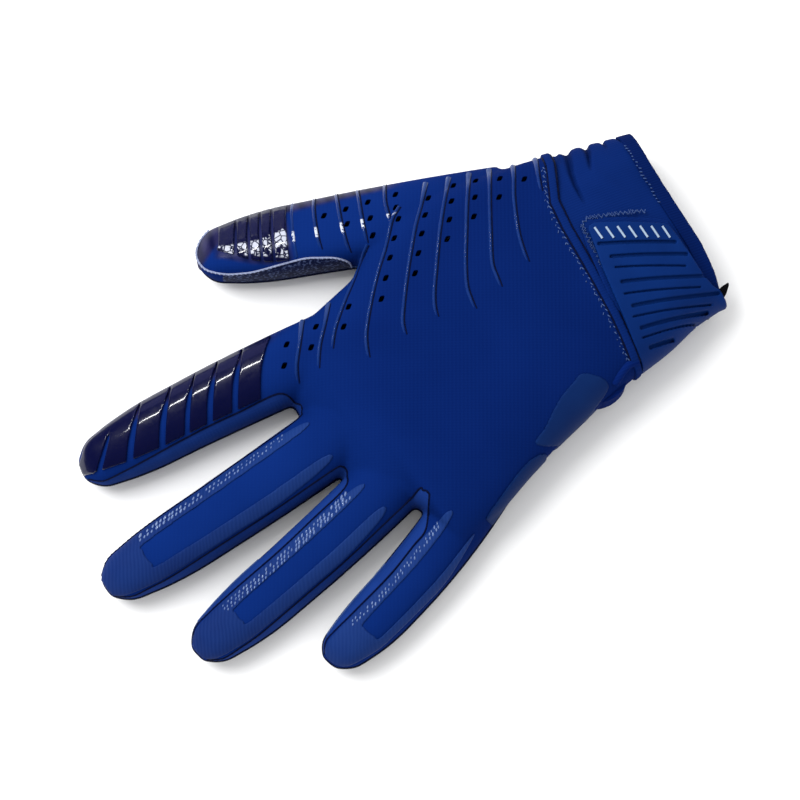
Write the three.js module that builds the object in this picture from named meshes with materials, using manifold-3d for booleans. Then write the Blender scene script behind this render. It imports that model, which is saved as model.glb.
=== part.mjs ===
// Left-hand football glove, filled out as on a hand, lying on its palm with the back up.
// Millimetres. The hand is modelled with +Y from the wrist to the middle fingertip, +X towards the
// thumb and +Z up from the surface that it lies on. The middle of the wrist seam is at x 0, y 0.
// At the end the whole group is moved so that the origin is the middle of the footprint.

import * as THREE from 'three';
import * as BufferGeometryUtils from 'three/addons/utils/BufferGeometryUtils.js';
import Module from 'manifold-3d';

const wasm = await Module();
wasm.setup();

// Driving dimensions

const CLOTH = 1.6;              // wall of the knit back and the synthetic palm
const GAP = 0.3;                // clearance between neighbouring pieces
const SIDE_SEAM_HEIGHT = 6;     // where the palm panel meets the back panel
const FLAT_SINK = 1.6;          // how much of each rounded underside is pressed flat on the surface
const ROUNDNESS = { palm: 2.6, finger: 2.3, cuff: 2.2 };   // of a section: 2 is an oval, more is squarer
const PALM_POINTS = { outer: 20, inner: 16 };      // points round one section
const FINGER_POINTS = { outer: 14, inner: 10 };
const CUFF_POINTS = { outer: 18, inner: 16 };

const BOND_LOW = 0.3;           // underside of a bonded overlay above the cloth
const BOND_HIGH = 0.8;          // top of a band or film
const BLOCK_HIGH = 1.1;         // top of a grip block
const RIB_HIGH = 1.2;           // top of a saddle rib
const RIB_WIDTH = 1.3;
const RIB_SEGMENTS = 2;
const OVERLAY_EDGE = 9;         // no overlay reaches lower down the sides than this

const HOLE_RADIUS = 1.0;        // perforations of the thumb saddle
const HOLE_SIDES = 6;
const HOLE_REACH = 60;          // from above the palm to clear of the back

const SEAM_STATIONS = [0.45, 0.6, 0.8, 0.89, 0.95];     // shares of a finger's length
const GUSSET_STATIONS = [0.58, 0.7, 0.8, 0.89, 0.95];
const GUSSET_ROOT_OUT = 0.5;    // the thumb's side panel starts this far outside its finger
const WEB_HALF = 1.5;           // half width of the lowest stretch of a web's seam
const FAR = 300;                // beyond the glove in every direction
const OVERRUN = 4;              // how far a cut runs past the end or face that it opens
const MERGE_DISTANCE = 1e-4;    // vertices nearer than this are one
const TIP_HOLLOW = 0.9;         // half width of a finger's hollow at its very end
const TIP_SHARE = 0.6;          // share of a wall's or layer's thickness at the blunt end of a finger
const PLAN_MARGIN = 6;          // how far a cut reaches past a finger's side
const BLOCK_EDGE = 1.4;         // bare strip between a grip block and the thumb side of the finger
const BLOCK_BEND = { slant: 0.42, aside: 1 };      // where a block bends: share of its slant, place
const BAND_STATIONS = [0.45, 0.6, 0.8, 0.89, 0.96];
const BAND_MIDDLE = 0.5;
const BAND_CORNER = { along: 0.03, aside: 2 };     // of the bare middle's round end

const CUFF_TURN = THREE.MathUtils.degToRad(-9.5);   // the wrist is set a little askew of the hand
const CUFF_STEP = 2.4;          // spacing of the cuff's sections along the wrist
const GATHER_PITCH = 4.8;       // one gather of the elastic to the next
const GATHER_DEPTH = 0.7;
const WELT_HALF = 1.2;          // half the width of the wrist welt
const WELT_PROUD = 0.9;
const BINDING_WIDTH = 4;
const BINDING_PROUD = 0.5;
const CUFF_LENGTH = 28;

const STRAP_BASE_HIGH = 1.1;
const STRAP_LOW = 1.4;
const STRAP_HIGH = 3.2;
const STRAP_SIDE_HEIGHT = 9;    // how far down the little-finger side the strap reaches
const STRAP_MIDDLE = -10;       // between the upper and the lower edge of the strap
const GROOVE_FLOOR = 2.3;
const GROOVE_MARGIN = { upper: 2, lower: 0.8 };
const BAR_LOW = 3.5;
const BAR_HIGH = 4;

const COLOURS = {
  knit: { color: 0x0e2b75, roughness: 0.75, metalness: 0 },
  palm: { color: 0x15244f, roughness: 0.6, metalness: 0 },
  gusset: { color: 0x11265c, roughness: 0.7, metalness: 0 },
  overlay: { color: 0x1b3a86, roughness: 0.5, metalness: 0 },
  grip: { color: 0x191f40, roughness: 0.25, metalness: 0 },
  strap: { color: 0x16377e, roughness: 0.45, metalness: 0 },
  cuff: { color: 0x0e2771, roughness: 0.8, metalness: 0 },
  bar: { color: 0xd5dcea, roughness: 0.4, metalness: 0 },
  hook: { color: 0x0b0b0e, roughness: 0.7, metalness: 0 },
};

// Sections of the hand from the wrist to the knuckles: side edges and height of the back

const PALM = [
  { y: -16, left: -35, right: 36, top: 28 },
  { y: 4, left: -35.5, right: 40.6, top: 29 },
  { y: 30, left: -38.5, right: 48, top: 28.5 },
  { y: 46, left: -41.5, right: 49, top: 27.5 },
  { y: 60, left: -45, right: 45, top: 26.5 },
  { y: 70, left: -48, right: 39.6, top: 25.5 },
  { y: 87, left: -52, right: 36.6, top: 24 },
  { y: 91, left: -31.5, right: 37, top: 23 },
  { y: 105.4, left: -30, right: 37.4, top: 18.5 },
];

// Fingers: root and tip of each axis, width, height and sideways bow

const FINGERS = {
  index: { root: [24, 78], tip: [34.3, 172.9], wide: 21.6, tall: 17.5, bow: 1.3 },
  middle: { root: [2, 82], tip: [-0.5, 187.2], wide: 20.6, tall: 17, bow: -1 },
  ring: { root: [-18, 78], tip: [-32.3, 174.9], wide: 20.2, tall: 16.5, bow: -1.7 },
  pinky: { root: [-36, 66], tip: [-57.6, 142.8], wide: 18, tall: 15.5, bow: -3.4 },
  thumb: { root: [33, 14], tip: [72.4, 108], wide: 24.2, tall: 19, bow: 0.8 },
};

// How far in from each side of a finger its seams run, on the thumb side and the little-finger side

const SEAM_INSETS = {
  index: { thumbInset: 0, littleInset: 3 },
  middle: { thumbInset: 2.4, littleInset: 1.6 },
  ring: { thumbInset: 4, littleInset: 1.4 },
  pinky: { thumbInset: 4.4, littleInset: 0 },
  thumb: { thumbInset: 0, littleInset: 3.2 },
};

// The shape that every finger shares, as fractions of its length, width and height

const FINGER_SHAPE = [
  { along: 0, wide: 1.06, top: 1.2, bottom: 0 },
  { along: 0.3, wide: 1.05, top: 1.08, bottom: 0 },
  { along: 0.6, wide: 1, top: 1, bottom: 0 },
  { along: 0.8, wide: 0.93, top: 0.94, bottom: 0 },
  { along: 0.89, wide: 0.81, top: 0.88, bottom: 0.02 },
  { along: 0.96, wide: 0.63, top: 0.78, bottom: 0.14 },
  { along: 1, wide: 0.3, top: 0.56, bottom: 0.36 },
];

// The cuff from its opening to inside the hand: distance behind the wrist seam, sideways shift of
// the middle, half width and height

const CUFF = [
  { back: 28, shift: 3.6, half: 30.6, top: 22.5 },
  { back: 20, shift: 3.4, half: 32.4, top: 25 },
  { back: 8, shift: 2.2, half: 35.4, top: 28 },
  { back: -9, shift: 0.8, half: 37.4, top: 29.6 },
];

// The wrist seam and the opening, seen from above, from the little-finger side to the thumb side

const WRIST_LINE = [[-34, 11.4], [-19, 9.2], [12, 6.2], [22, 4.4], [34, -2.4], [50, -8]];
const OPENING_LINE = [[-45, -20.6], [45, -35.4]];

// The webs: the fingers on the thumb side and the little-finger side, how far along each of them
// the seam leaves it, and the lowest point of the seam

const WEBS = [
  { thumbSide: 'index', thumbFrom: 0.29, littleSide: 'middle', littleFrom: 0.23, low: [14.8, 102.6] },
  { thumbSide: 'middle', thumbFrom: 0.23, littleSide: 'ring', littleFrom: 0.28, low: [-11.2, 102.4] },
  { thumbSide: 'ring', thumbFrom: 0.14, littleSide: 'pinky', littleFrom: 0.34, low: [-33, 86] },
];

// Bonded bands: how far along the finger the arms start and where the bare middle ends, and how
// wide each arm is

const BANDS = [
  { name: 'middle_band', finger: 'middle', armStart: 0.31, bareEnd: 0.85, thumbArm: 4.6, littleArm: 3.6 },
  { name: 'ring_band', finger: 'ring', armStart: 0.34, bareEnd: 0.83, thumbArm: 4.2, littleArm: 3.6 },
  { name: 'pinky_band', finger: 'pinky', armStart: 0.34, bareEnd: 0.8, thumbArm: 4.2, littleArm: 1.6 },
];

// Bonded films on the little-finger edge of the hand, seen from above

const EDGE_FILMS = [
  [[-27, 34.6], [-28.2, 29.6], [-34.6, 24.6], [-38.6, 30], [-41, 41.8], [-41.6, 47.2], [-36.6, 49.8]],
  [[-42.8, 52.8], [-44.6, 55.6], [-51, 75.4], [-48.4, 79], [-46.2, 74.8], [-40.8, 54.6]],
];

// Grip blocks: along the finger on the little-finger side, and how much nearer the hand the block
// lies on the thumb side

const INDEX_BLOCKS = [
  { from: 0.38, to: 0.465 },
  { from: 0.48, to: 0.555 },
  { from: 0.57, to: 0.635 },
  { from: 0.65, to: 0.725 },
  { from: 0.74, to: 0.835 },
  { from: 0.855, to: 0.935 },
];
const INDEX_BLOCK_SLANT = 0.115;

const THUMB_BLOCKS = [
  { from: 0.655, to: 0.71 },
  { from: 0.722, to: 0.775 },
  { from: 0.787, to: 0.835 },
  { from: 0.847, to: 0.89 },
  { from: 0.902, to: 0.945 },
];
const THUMB_BLOCK_SLANT = 0.03;

// Ribs over the base of the thumb, each from its inner end to its outer end, bulging sideways

const RIBS = [
  { from: [26.8, 6.3], to: [38.2, 0.6], bulge: 0.3 },
  { from: [9, 21.6], to: [41.6, 7.4], bulge: 1.2 },
  { from: [6.8, 33.9], to: [44.6, 13.6], bulge: 1.4 },
  { from: [6.9, 44], to: [47.2, 19.4], bulge: 1.5 },
  { from: [10.5, 55.8], to: [50.2, 25.4], bulge: 1.4 },
  { from: [10.8, 68.6], to: [52.6, 32.6], bulge: 1.2 },
  { from: [12.3, 81], to: [52.2, 44.6], bulge: 1 },
  { from: [17.2, 88.4], to: [36, 71.6], bulge: 0.8 },
  { from: [19.6, 95.6], to: [35.4, 80.4], bulge: 0.8 },
  { from: [19.2, 103.4], to: [35, 90], bulge: 0.8 },
  { from: [57.8, 41.8], to: [49.6, 49.6], bulge: 0 },
  { from: [61, 50.8], to: [47.6, 57.6], bulge: -0.4 },
  { from: [64.4, 59.6], to: [50.4, 65.4], bulge: -0.5 },
  { from: [67.4, 67.6], to: [54.4, 72.6], bulge: -0.5 },
];

// Rows of perforations between the ribs: first hole, step to the next, how many

const HOLE_ROWS = [
  { x: 26.5, y: 103.6, stepX: 5.4, stepY: -4.4, count: 2 },
  { x: 26.6, y: 93.4, stepX: 5, stepY: -5, count: 2 },
  { x: 26.2, y: 81.4, stepX: 4.8, stepY: -5, count: 2 },
  { x: 26.7, y: 66.8, stepX: 5, stepY: -4.9, count: 5 },
  { x: 27.4, y: 53.7, stepX: 5, stepY: -4.6, count: 5 },
  { x: 31, y: 39.1, stepX: 5.2, stepY: -4.3, count: 4 },
  { x: 32.5, y: 28, stepX: 5.6, stepY: -4.2, count: 3 },
  { x: 33.6, y: 17.6, stepX: 5.8, stepY: -4.3, count: 2 },
  { x: 34.4, y: 7.4, stepX: 0, stepY: 0, count: 1 },
  { x: 50.6, y: 45.6, stepX: 4.2, stepY: -2.6, count: 2 },
  { x: 46.7, y: 57, stepX: 5.4, stepY: -2.6, count: 3 },
  { x: 54.6, y: 61.6, stepX: 4.8, stepY: -2.6, count: 2 },
  { x: 61.4, y: 66, stepX: 3.4, stepY: -2, count: 1 },
];

// The closure: outline of the sewn base and of the moulded tab, seen from above

const STRAP_BASE_OUTLINE = [[-44, 9], [-20, 6.8], [11.6, 2.6], [12.8, -0.4], [4, -20.4], [-44, -20.4]];
const STRAP_OUTLINE = [[-44, 7.6], [-20, 5.4], [9, 1.4], [10.2, -1.4], [1.6, -19.6], [-44, -19.6]];
const STRAP_GROOVES = { count: 9, firstX: -4.4, pitch: 3.9, lean: 12.6, low: -22, high: 19 };
const GROOVE_WIDTHS = { wide: 0.9, narrow: 0.5 };
const STRAP_BARS = { count: 7, x: 4.2, y: -1, stepX: -1.86, stepY: -2.98 };
const BAR_LENGTH = 4.4;
const BAR_WIDTH = 0.9;

// The pull loop at the little-finger side of the heel, and the corner of hook tape under the strap

const LOOP = { x: -36.9, y: 22.6, inner: 2.6, outer: 4.4, stretch: 1.5, low: 7, high: 15 };
const LOOP_SEGMENTS = 10;
const HOOK_TIP_OUTLINE = [[-33.2, -18.4], [-31.6, -24], [-27.6, -29.6], [-28.4, -24.4]];
const HOOK_TIP_LOW = 8;
const HOOK_TIP_HIGH = 10;

// Solids and their joins and cuts

function toSolid(geometry) {
  const bare = geometry.clone();
  bare.deleteAttribute('normal');
  bare.deleteAttribute('uv');
  const merged = BufferGeometryUtils.mergeVertices(bare, MERGE_DISTANCE);
  return new wasm.Manifold(new wasm.Mesh({
    numProp: 3,
    vertProperties: Float32Array.from(merged.attributes.position.array),
    triVerts: Uint32Array.from(merged.index.array),
  }));
}

function toGeometry(solid) {
  const { numProp, vertProperties, triVerts } = solid.getMesh();
  const positions = new Float32Array(vertProperties.length / numProp * 3);
  for (let i = 0; i < positions.length / 3; i += 1) {
    const start = numProp * i;
    positions.set(vertProperties.subarray(start, start + 3), 3 * i);
  }
  const geometry = new THREE.BufferGeometry();
  geometry.setAttribute('position', new THREE.BufferAttribute(positions, 3));
  geometry.setIndex(new THREE.BufferAttribute(Uint32Array.from(triVerts), 1));
  geometry.computeVertexNormals();
  return geometry;
}

function join(solids) {
  return solids.reduce((whole, solid) => whole.add(solid));
}

// The piece itself, without the crumbs that a cut along a curved edge leaves
function mainBody(solid) {
  return solid.decompose().sort((a, b) => b.volume() - a.volume())[0];
}

// An upright prism over a plan outline
function prism(outline, low = -FAR, high = FAR) {
  const shape = new THREE.Shape(outline.map(([x, y]) => new THREE.Vector2(x, y)));
  const geometry = new THREE.ExtrudeGeometry(shape, { depth: high - low, bevelEnabled: false });
  geometry.translate(0, 0, low);
  return toSolid(geometry);
}

const EVERYWHERE = [[-FAR, -FAR], [FAR, -FAR], [FAR, FAR], [-FAR, FAR]];

function above(height) {
  return prism(EVERYWHERE, height, FAR);
}

function below(height) {
  return prism(EVERYWHERE, -FAR, height);
}

// An upright prism over a line of even width through the given points
function ribbon(points, width) {
  const path = points.map(([x, y]) => new THREE.Vector2(x, y));
  const left = [];
  const right = [];
  path.forEach((point, i) => {
    const ahead = path[Math.min(i + 1, path.length - 1)];
    const behind = path[Math.max(i - 1, 0)];
    const across = ahead.clone().sub(behind).normalize().rotateAround(new THREE.Vector2(), Math.PI / 2);
    left.push(point.clone().addScaledVector(across, width / 2).toArray());
    right.unshift(point.clone().addScaledVector(across, -width / 2).toArray());
  });
  return prism([...left, ...right]);
}

// A solid through closed rings of equal length, with flat ends
function loft(rings) {
  const count = rings[0].length;
  const positions = [];
  rings.forEach((points) => points.forEach((p) => positions.push(p.x, p.y, p.z)));
  const index = [];
  for (let k = 0; k + 1 < rings.length; k += 1) {
    for (let i = 0; i < count; i += 1) {
      const j = (i + 1) % count;
      const a = k * count + i;
      const b = k * count + j;
      index.push(a, a + count, b, b, a + count, b + count);
    }
  }
  const ends = [rings[0], rings[rings.length - 1]];
  ends.forEach((points, end) => {
    const middle = points.reduce((sum, p) => sum.add(p), new THREE.Vector3()).divideScalar(count);
    const centre = positions.length / 3;
    positions.push(middle.x, middle.y, middle.z);
    const first = end * (rings.length - 1) * count;
    for (let i = 0; i < count; i += 1) {
      const j = (i + 1) % count;
      index.push(centre, first + (end ? j : i), first + (end ? i : j));
    }
  });
  const geometry = new THREE.BufferGeometry();
  geometry.setAttribute('position', new THREE.Float32BufferAttribute(positions, 3));
  geometry.setIndex(index);
  return toSolid(geometry);
}

// One upright section: a rounded oval whose lower side is pressed flat where it meets the surface.
// grow moves its outline outwards, or inwards for the inner face of a wall.
function section({ x, y, turn = 0, half, top, bottom = 0, power, count, ripple = 0 }, grow) {
  const floor = bottom + Math.max(0, -grow);
  const sink = bottom > 0 ? 0 : FLAT_SINK;
  const low = bottom - sink - grow;
  const high = top + grow;
  const points = [];
  for (let i = 0; i < count; i += 1) {
    const angle = 2 * Math.PI * (i + 0.5) / count;
    const u = Math.cos(angle);
    const v = Math.sin(angle);
    const gather = ripple * Math.max(0, u) ** 2;
    const across = (half + grow + gather) * Math.sign(u) * Math.abs(u) ** (2 / power);
    const up = (high - low) / 2 * Math.sign(v) * Math.abs(v) ** (2 / power);
    const z = Math.max(floor, (high + low) / 2 + up);
    points.push(new THREE.Vector3(x + across * Math.cos(turn), y + across * Math.sin(turn), z));
  }
  return points;
}

// The inner face of a wall is hidden, so it has fewer facets
function pointsFor({ outer, inner }, grow) {
  return grow < 0 ? inner : outer;
}

// A value between the rows of a table, by the column that orders them
function between(table, order, at, column) {
  const rows = [...table].sort((a, b) => a[order] - b[order]);
  const next = rows.find((row) => row[order] >= at) ?? rows[rows.length - 1];
  const previous = rows[Math.max(0, rows.indexOf(next) - 1)];
  const span = next[order] - previous[order];
  const share = span > 0 ? (at - previous[order]) / span : 0;
  return THREE.MathUtils.lerp(previous[column], next[column], THREE.MathUtils.clamp(share, 0, 1));
}

// Axis, width and direction of a finger at a share of its length
function fingerAt(finger, along) {
  const { root, tip, wide, bow } = FINGERS[finger];
  const dx = tip[0] - root[0];
  const dy = tip[1] - root[1];
  const length = Math.hypot(dx, dy);
  const turn = Math.atan2(-dx, dy);
  const sideways = bow * 4 * along * (1 - along);
  return {
    x: root[0] + dx * along + sideways * Math.cos(turn),
    y: root[1] + dy * along + sideways * Math.sin(turn),
    turn,
    length,
    half: wide / 2 * between(FINGER_SHAPE, 'along', along, 'wide'),
  };
}

// A plan point beside a finger's axis, offset towards the thumb
function besideFinger(finger, along, offset) {
  const { x, y, turn } = fingerAt(finger, along);
  return [x + offset * Math.cos(turn), y + offset * Math.sin(turn)];
}

function fingerForm(finger, grow) {
  const { tall } = FINGERS[finger];
  return loft(FINGER_SHAPE.map(({ along, top, bottom }) => {
    const { x, y, turn, half } = fingerAt(finger, along);
    const atEnd = along === 1;
    const further = atEnd ? grow : 0;
    return section({
      x: x - Math.sin(turn) * further,
      y: y + Math.cos(turn) * further,
      turn,
      half: Math.max(half + grow, TIP_HOLLOW) - grow,
      top: tall * top,
      bottom: tall * bottom,
      power: ROUNDNESS.finger,
      count: pointsFor(FINGER_POINTS, grow),
    }, atEnd ? grow * TIP_SHARE : grow);
  }));
}

function palmForm(grow) {
  const knuckles = PALM[PALM.length - 1];
  return loft(PALM.map((row) => section({
    x: (row.left + row.right) / 2,
    y: row.y + (row === knuckles ? grow : 0),
    half: (row.right - row.left) / 2,
    top: row.top,
    power: ROUNDNESS.palm,
    count: pointsFor(PALM_POINTS, grow),
  }, grow)));
}

function cuffSection(back, grow, ripple) {
  const shift = between(CUFF, 'back', back, 'shift');
  return section({
    x: shift * Math.cos(CUFF_TURN) + back * Math.sin(CUFF_TURN),
    y: shift * Math.sin(CUFF_TURN) - back * Math.cos(CUFF_TURN),
    turn: CUFF_TURN,
    half: between(CUFF, 'back', back, 'half'),
    top: between(CUFF, 'back', back, 'top'),
    power: ROUNDNESS.cuff,
    count: pointsFor(CUFF_POINTS, grow),
    ripple,
  }, grow);
}

// The cuff as a plain taper, running reach past its opening
function cuffForm(grow, reach = 0) {
  const stations = [CUFF_LENGTH + reach, ...CUFF.map((row) => row.back)];
  return loft(stations.map((back) => cuffSection(back, grow, 0)));
}

// The cuff's outer form with its gathers
function gatheredForm() {
  const rings = [];
  for (let back = CUFF_LENGTH; back > -WELT_HALF - CUFF_STEP; back -= CUFF_STEP) {
    rings.push(cuffSection(back, 0, GATHER_DEPTH * Math.sin(2 * Math.PI * back / GATHER_PITCH)));
  }
  return loft(rings);
}

function handForm(grow) {
  return join([palmForm(grow), ...Object.keys(FINGERS).map((finger) => fingerForm(finger, grow))]);
}

// Everything nearer the opening (reach 1), or nearer the fingers (reach -1), than a line in plan
// that is moved back along the wrist
function wristSide(line, back, reach) {
  const moved = line.map(([x, y]) => [x + back * Math.sin(CUFF_TURN), y - back * Math.cos(CUFF_TURN)]);
  const firstY = moved[0][1];
  const lastY = moved[moved.length - 1][1];
  const far = -reach * FAR;
  return prism([[-FAR, firstY], ...moved, [FAR, lastY], [FAR, far], [-FAR, far]]);
}

// The hand and its seams

const handShell = handForm(0)
  .subtract(handForm(-CLOTH))
  .intersect(wristSide(WRIST_LINE, -WELT_HALF - GAP, -1));
const upperHand = handShell.intersect(above(SIDE_SEAM_HEIGHT + GAP / 2));

// A point beside a finger, in from its thumb side (1) or its little-finger side (-1)
function inFromSide(finger, along, side, inset) {
  return besideFinger(finger, along, side * (fingerAt(finger, along).half - inset));
}

// Plan of a side strip between two fingers. grow widens it past its seams.
function webPlan({ thumbSide, thumbFrom, littleSide, littleFrom, low }, grow) {
  const down = [thumbFrom, ...SEAM_STATIONS].map((along) => (
    inFromSide(thumbSide, along, -1, SEAM_INSETS[thumbSide].littleInset + grow)
  ));
  const up = [littleFrom, ...SEAM_STATIONS].map((along) => (
    inFromSide(littleSide, along, 1, SEAM_INSETS[littleSide].thumbInset + grow)
  ));
  const bottom = [[low[0] + WEB_HALF, low[1] - grow], [low[0] - WEB_HALF, low[1] - grow]];
  const thumbEnd = inFromSide(thumbSide, SEAM_STATIONS.at(-1), -1, -PLAN_MARGIN);
  const littleEnd = inFromSide(littleSide, SEAM_STATIONS.at(-1), 1, -PLAN_MARGIN);
  return [thumbEnd, ...down.reverse(), ...bottom, ...up, littleEnd];
}

// Plan of the thumb's side panel, from the web to the tip
function gussetPlan(grow) {
  const inset = SEAM_INSETS.thumb.littleInset + grow;
  const seam = GUSSET_STATIONS.map((along) => inFromSide('thumb', along, -1, inset));
  const tip = inFromSide('thumb', GUSSET_STATIONS.at(-1), -1, -PLAN_MARGIN);
  const root = inFromSide('thumb', GUSSET_STATIONS[0], -1, -GUSSET_ROOT_OUT);
  return [...seam, tip, root];
}

const webs = WEBS.map((web) => ({
  name: `fourchette_${web.thumbSide}_${web.littleSide}`,
  solid: upperHand.intersect(prism(webPlan(web, 0))),
}));
const gusset = upperHand.intersect(prism(gussetPlan(0)));

function perforations() {
  const holes = [];
  HOLE_ROWS.forEach(({ x, y, stepX, stepY, count }) => {
    for (let i = 0; i < count; i += 1) {
      const geometry = new THREE.CylinderGeometry(HOLE_RADIUS, HOLE_RADIUS, HOLE_REACH, HOLE_SIDES);
      geometry.rotateX(Math.PI / 2);
      geometry.translate(x + i * stepX, y + i * stepY, HOLE_REACH / 2 + OVERLAY_EDGE);
      holes.push(toSolid(geometry));
    }
  });
  return join(holes);
}

const backPanel = [...WEBS.map((web) => webPlan(web, GAP)), gussetPlan(GAP)]
  .reduce((panel, plan) => panel.subtract(prism(plan)), upperHand)
  .subtract(perforations());
const palmPanel = handShell.intersect(below(SIDE_SEAM_HEIGHT - GAP / 2));

// Overlays bonded to the top of the hand

function overlayLayer(high) {
  return handForm(high).subtract(handForm(BOND_LOW)).intersect(above(OVERLAY_EDGE));
}

const bondLayer = overlayLayer(BOND_HIGH);
const blockLayer = overlayLayer(BLOCK_HIGH);
const ribLayer = overlayLayer(RIB_HIGH);

function bandPlan({ finger, armStart, bareEnd, thumbArm, littleArm }) {
  const thumbEdge = SEAM_INSETS[finger].thumbInset + 2 * GAP;
  const littleEdge = SEAM_INSETS[finger].littleInset + 2 * GAP;
  const thumbBare = thumbEdge + thumbArm;
  const littleBare = littleEdge + littleArm;
  const outer = [armStart, ...BAND_STATIONS];
  const inner = [armStart, BAND_MIDDLE, bareEnd - BAND_CORNER.along];
  return [
    ...outer.map((along) => inFromSide(finger, along, 1, thumbEdge)),
    ...outer.map((along) => inFromSide(finger, along, -1, littleEdge)).reverse(),
    ...inner.map((along) => inFromSide(finger, along, -1, littleBare)),
    inFromSide(finger, bareEnd, -1, littleBare + BAND_CORNER.aside),
    inFromSide(finger, bareEnd, 1, thumbBare + BAND_CORNER.aside),
    ...inner.map((along) => inFromSide(finger, along, 1, thumbBare)).reverse(),
  ];
}

// Plan of a block across a finger, slanting back towards the hand on the thumb side
function blockPlan(finger, { from, to }, slant) {
  const inset = SEAM_INSETS[finger].littleInset + 2 * GAP;
  const little = (along) => inFromSide(finger, along, -1, inset);
  const middle = (along) => besideFinger(finger, along - slant * BLOCK_BEND.slant, BLOCK_BEND.aside);
  const thumb = (along) => inFromSide(finger, along - slant, 1, BLOCK_EDGE);
  return [little(from), middle(from), thumb(from), thumb(to), middle(to), little(to)];
}

function ribLine({ from, to, bulge }) {
  const start = new THREE.Vector2(...from);
  const end = new THREE.Vector2(...to);
  const across = end.clone().sub(start).normalize().rotateAround(new THREE.Vector2(), Math.PI / 2);
  const control = start.clone().add(end).divideScalar(2).addScaledVector(across, 2 * bulge);
  const curve = new THREE.QuadraticBezierCurve(start, control, end);
  return curve.getPoints(RIB_SEGMENTS).map((p) => p.toArray());
}

// The wrist

const cuffShell = gatheredForm().subtract(cuffForm(-CLOTH, OVERRUN));
const cuff = cuffShell
  .intersect(wristSide(WRIST_LINE, WELT_HALF + GAP, 1))
  .intersect(wristSide(OPENING_LINE, -BINDING_WIDTH - GAP, -1));
const binding = cuffForm(BINDING_PROUD)
  .subtract(cuffForm(-CLOTH, OVERRUN))
  .intersect(wristSide(OPENING_LINE, -BINDING_WIDTH, 1));
const welt = join([cuffForm(WELT_PROUD), handForm(WELT_PROUD)])
  .subtract(join([cuffForm(-CLOTH, OVERRUN), handForm(-CLOTH)]))
  .intersect(wristSide(WRIST_LINE, -WELT_HALF, 1))
  .intersect(wristSide(WRIST_LINE, WELT_HALF, -1));

// A layer lying on the cuff, clear of the binding and of the surface
function cuffLayer(low, high) {
  return cuffForm(high).subtract(cuffForm(low))
    .intersect(above(STRAP_SIDE_HEIGHT))
    .intersect(wristSide(OPENING_LINE, -BINDING_WIDTH - GAP, -1));
}

function strapGrooves() {
  const { count, firstX, pitch, lean, low, high } = STRAP_GROOVES;
  const grooves = [];
  for (let i = 0; i < count; i += 1) {
    const x = firstX - i * pitch;
    const width = i % 2 ? GROOVE_WIDTHS.narrow : GROOVE_WIDTHS.wide;
    grooves.push(ribbon([[x - lean, low], [x + lean, high]], width));
  }
  const field = STRAP_OUTLINE.map(([x, y]) => (
    [x, y > STRAP_MIDDLE ? y - GROOVE_MARGIN.upper : y + GROOVE_MARGIN.lower]
  ));
  return join(grooves)
    .intersect(prism(field))
    .intersect(cuffLayer(GROOVE_FLOOR, STRAP_HIGH + OVERRUN));
}

const strapBase = cuffLayer(BOND_LOW, STRAP_BASE_HIGH).intersect(prism(STRAP_BASE_OUTLINE));
const strap = cuffLayer(STRAP_LOW, STRAP_HIGH).intersect(prism(STRAP_OUTLINE)).subtract(strapGrooves());

function strapBar(i) {
  const { x, y, stepX, stepY } = STRAP_BARS;
  const start = [x + i * stepX, y + i * stepY];
  const end = [start[0] + BAR_LENGTH, start[1]];
  return cuffLayer(BAR_LOW, BAR_HIGH).intersect(ribbon([start, end], BAR_WIDTH));
}

// A half ring of webbing that stands on edge against the side of the heel
function heelLoop() {
  const { x, y, inner, outer, stretch, low, high } = LOOP;
  const arc = (radius) => Array.from({ length: LOOP_SEGMENTS + 1 }, (_, i) => {
    const angle = Math.PI / 2 + Math.PI * i / LOOP_SEGMENTS;
    return [x + radius * Math.cos(angle), y + stretch * radius * Math.sin(angle)];
  });
  return prism([...arc(outer), ...arc(inner).reverse()], low, high).subtract(handForm(GAP));
}

const hookTip = prism(HOOK_TIP_OUTLINE, HOOK_TIP_LOW, HOOK_TIP_HIGH)
  .subtract(cuffForm(BINDING_PROUD + GAP));

// The glove

const glove = new THREE.Group();

function addPiece(name, solid, finish) {
  const material = new THREE.MeshStandardMaterial(COLOURS[finish]);
  const mesh = new THREE.Mesh(toGeometry(mainBody(solid)), material);
  mesh.name = name;
  glove.add(mesh);
}

addPiece('back_panel', backPanel, 'knit');
addPiece('palm_panel', palmPanel, 'palm');
webs.forEach(({ name, solid }) => addPiece(name, solid, 'gusset'));
addPiece('thumb_gusset', gusset, 'gusset');
BANDS.forEach((band) => addPiece(band.name, bondLayer.intersect(prism(bandPlan(band))), 'overlay'));
EDGE_FILMS.forEach((plan, i) => {
  addPiece(`edge_film_${i + 1}`, bondLayer.intersect(prism(plan)), 'overlay');
});
INDEX_BLOCKS.forEach((block, i) => {
  const plan = blockPlan('index', block, INDEX_BLOCK_SLANT);
  addPiece(`index_grip_${i + 1}`, blockLayer.intersect(prism(plan)), 'grip');
});
THUMB_BLOCKS.forEach((block, i) => {
  const plan = blockPlan('thumb', block, THUMB_BLOCK_SLANT);
  addPiece(`thumb_grip_${i + 1}`, blockLayer.intersect(prism(plan)), 'grip');
});
RIBS.forEach((rib, i) => {
  addPiece(`saddle_rib_${i + 1}`, ribLayer.intersect(ribbon(ribLine(rib), RIB_WIDTH)), 'overlay');
});
addPiece('wrist_seam', welt, 'cuff');
addPiece('cuff', cuff, 'cuff');
addPiece('cuff_binding', binding, 'cuff');
addPiece('strap_base', strapBase, 'cuff');
addPiece('strap', strap, 'strap');
for (let i = 0; i < STRAP_BARS.count; i += 1) {
  addPiece(`strap_bar_${i + 1}`, strapBar(i), 'bar');
}
addPiece('strap_hook_tip', hookTip, 'hook');
addPiece('heel_loop', heelLoop(), 'cuff');

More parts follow.
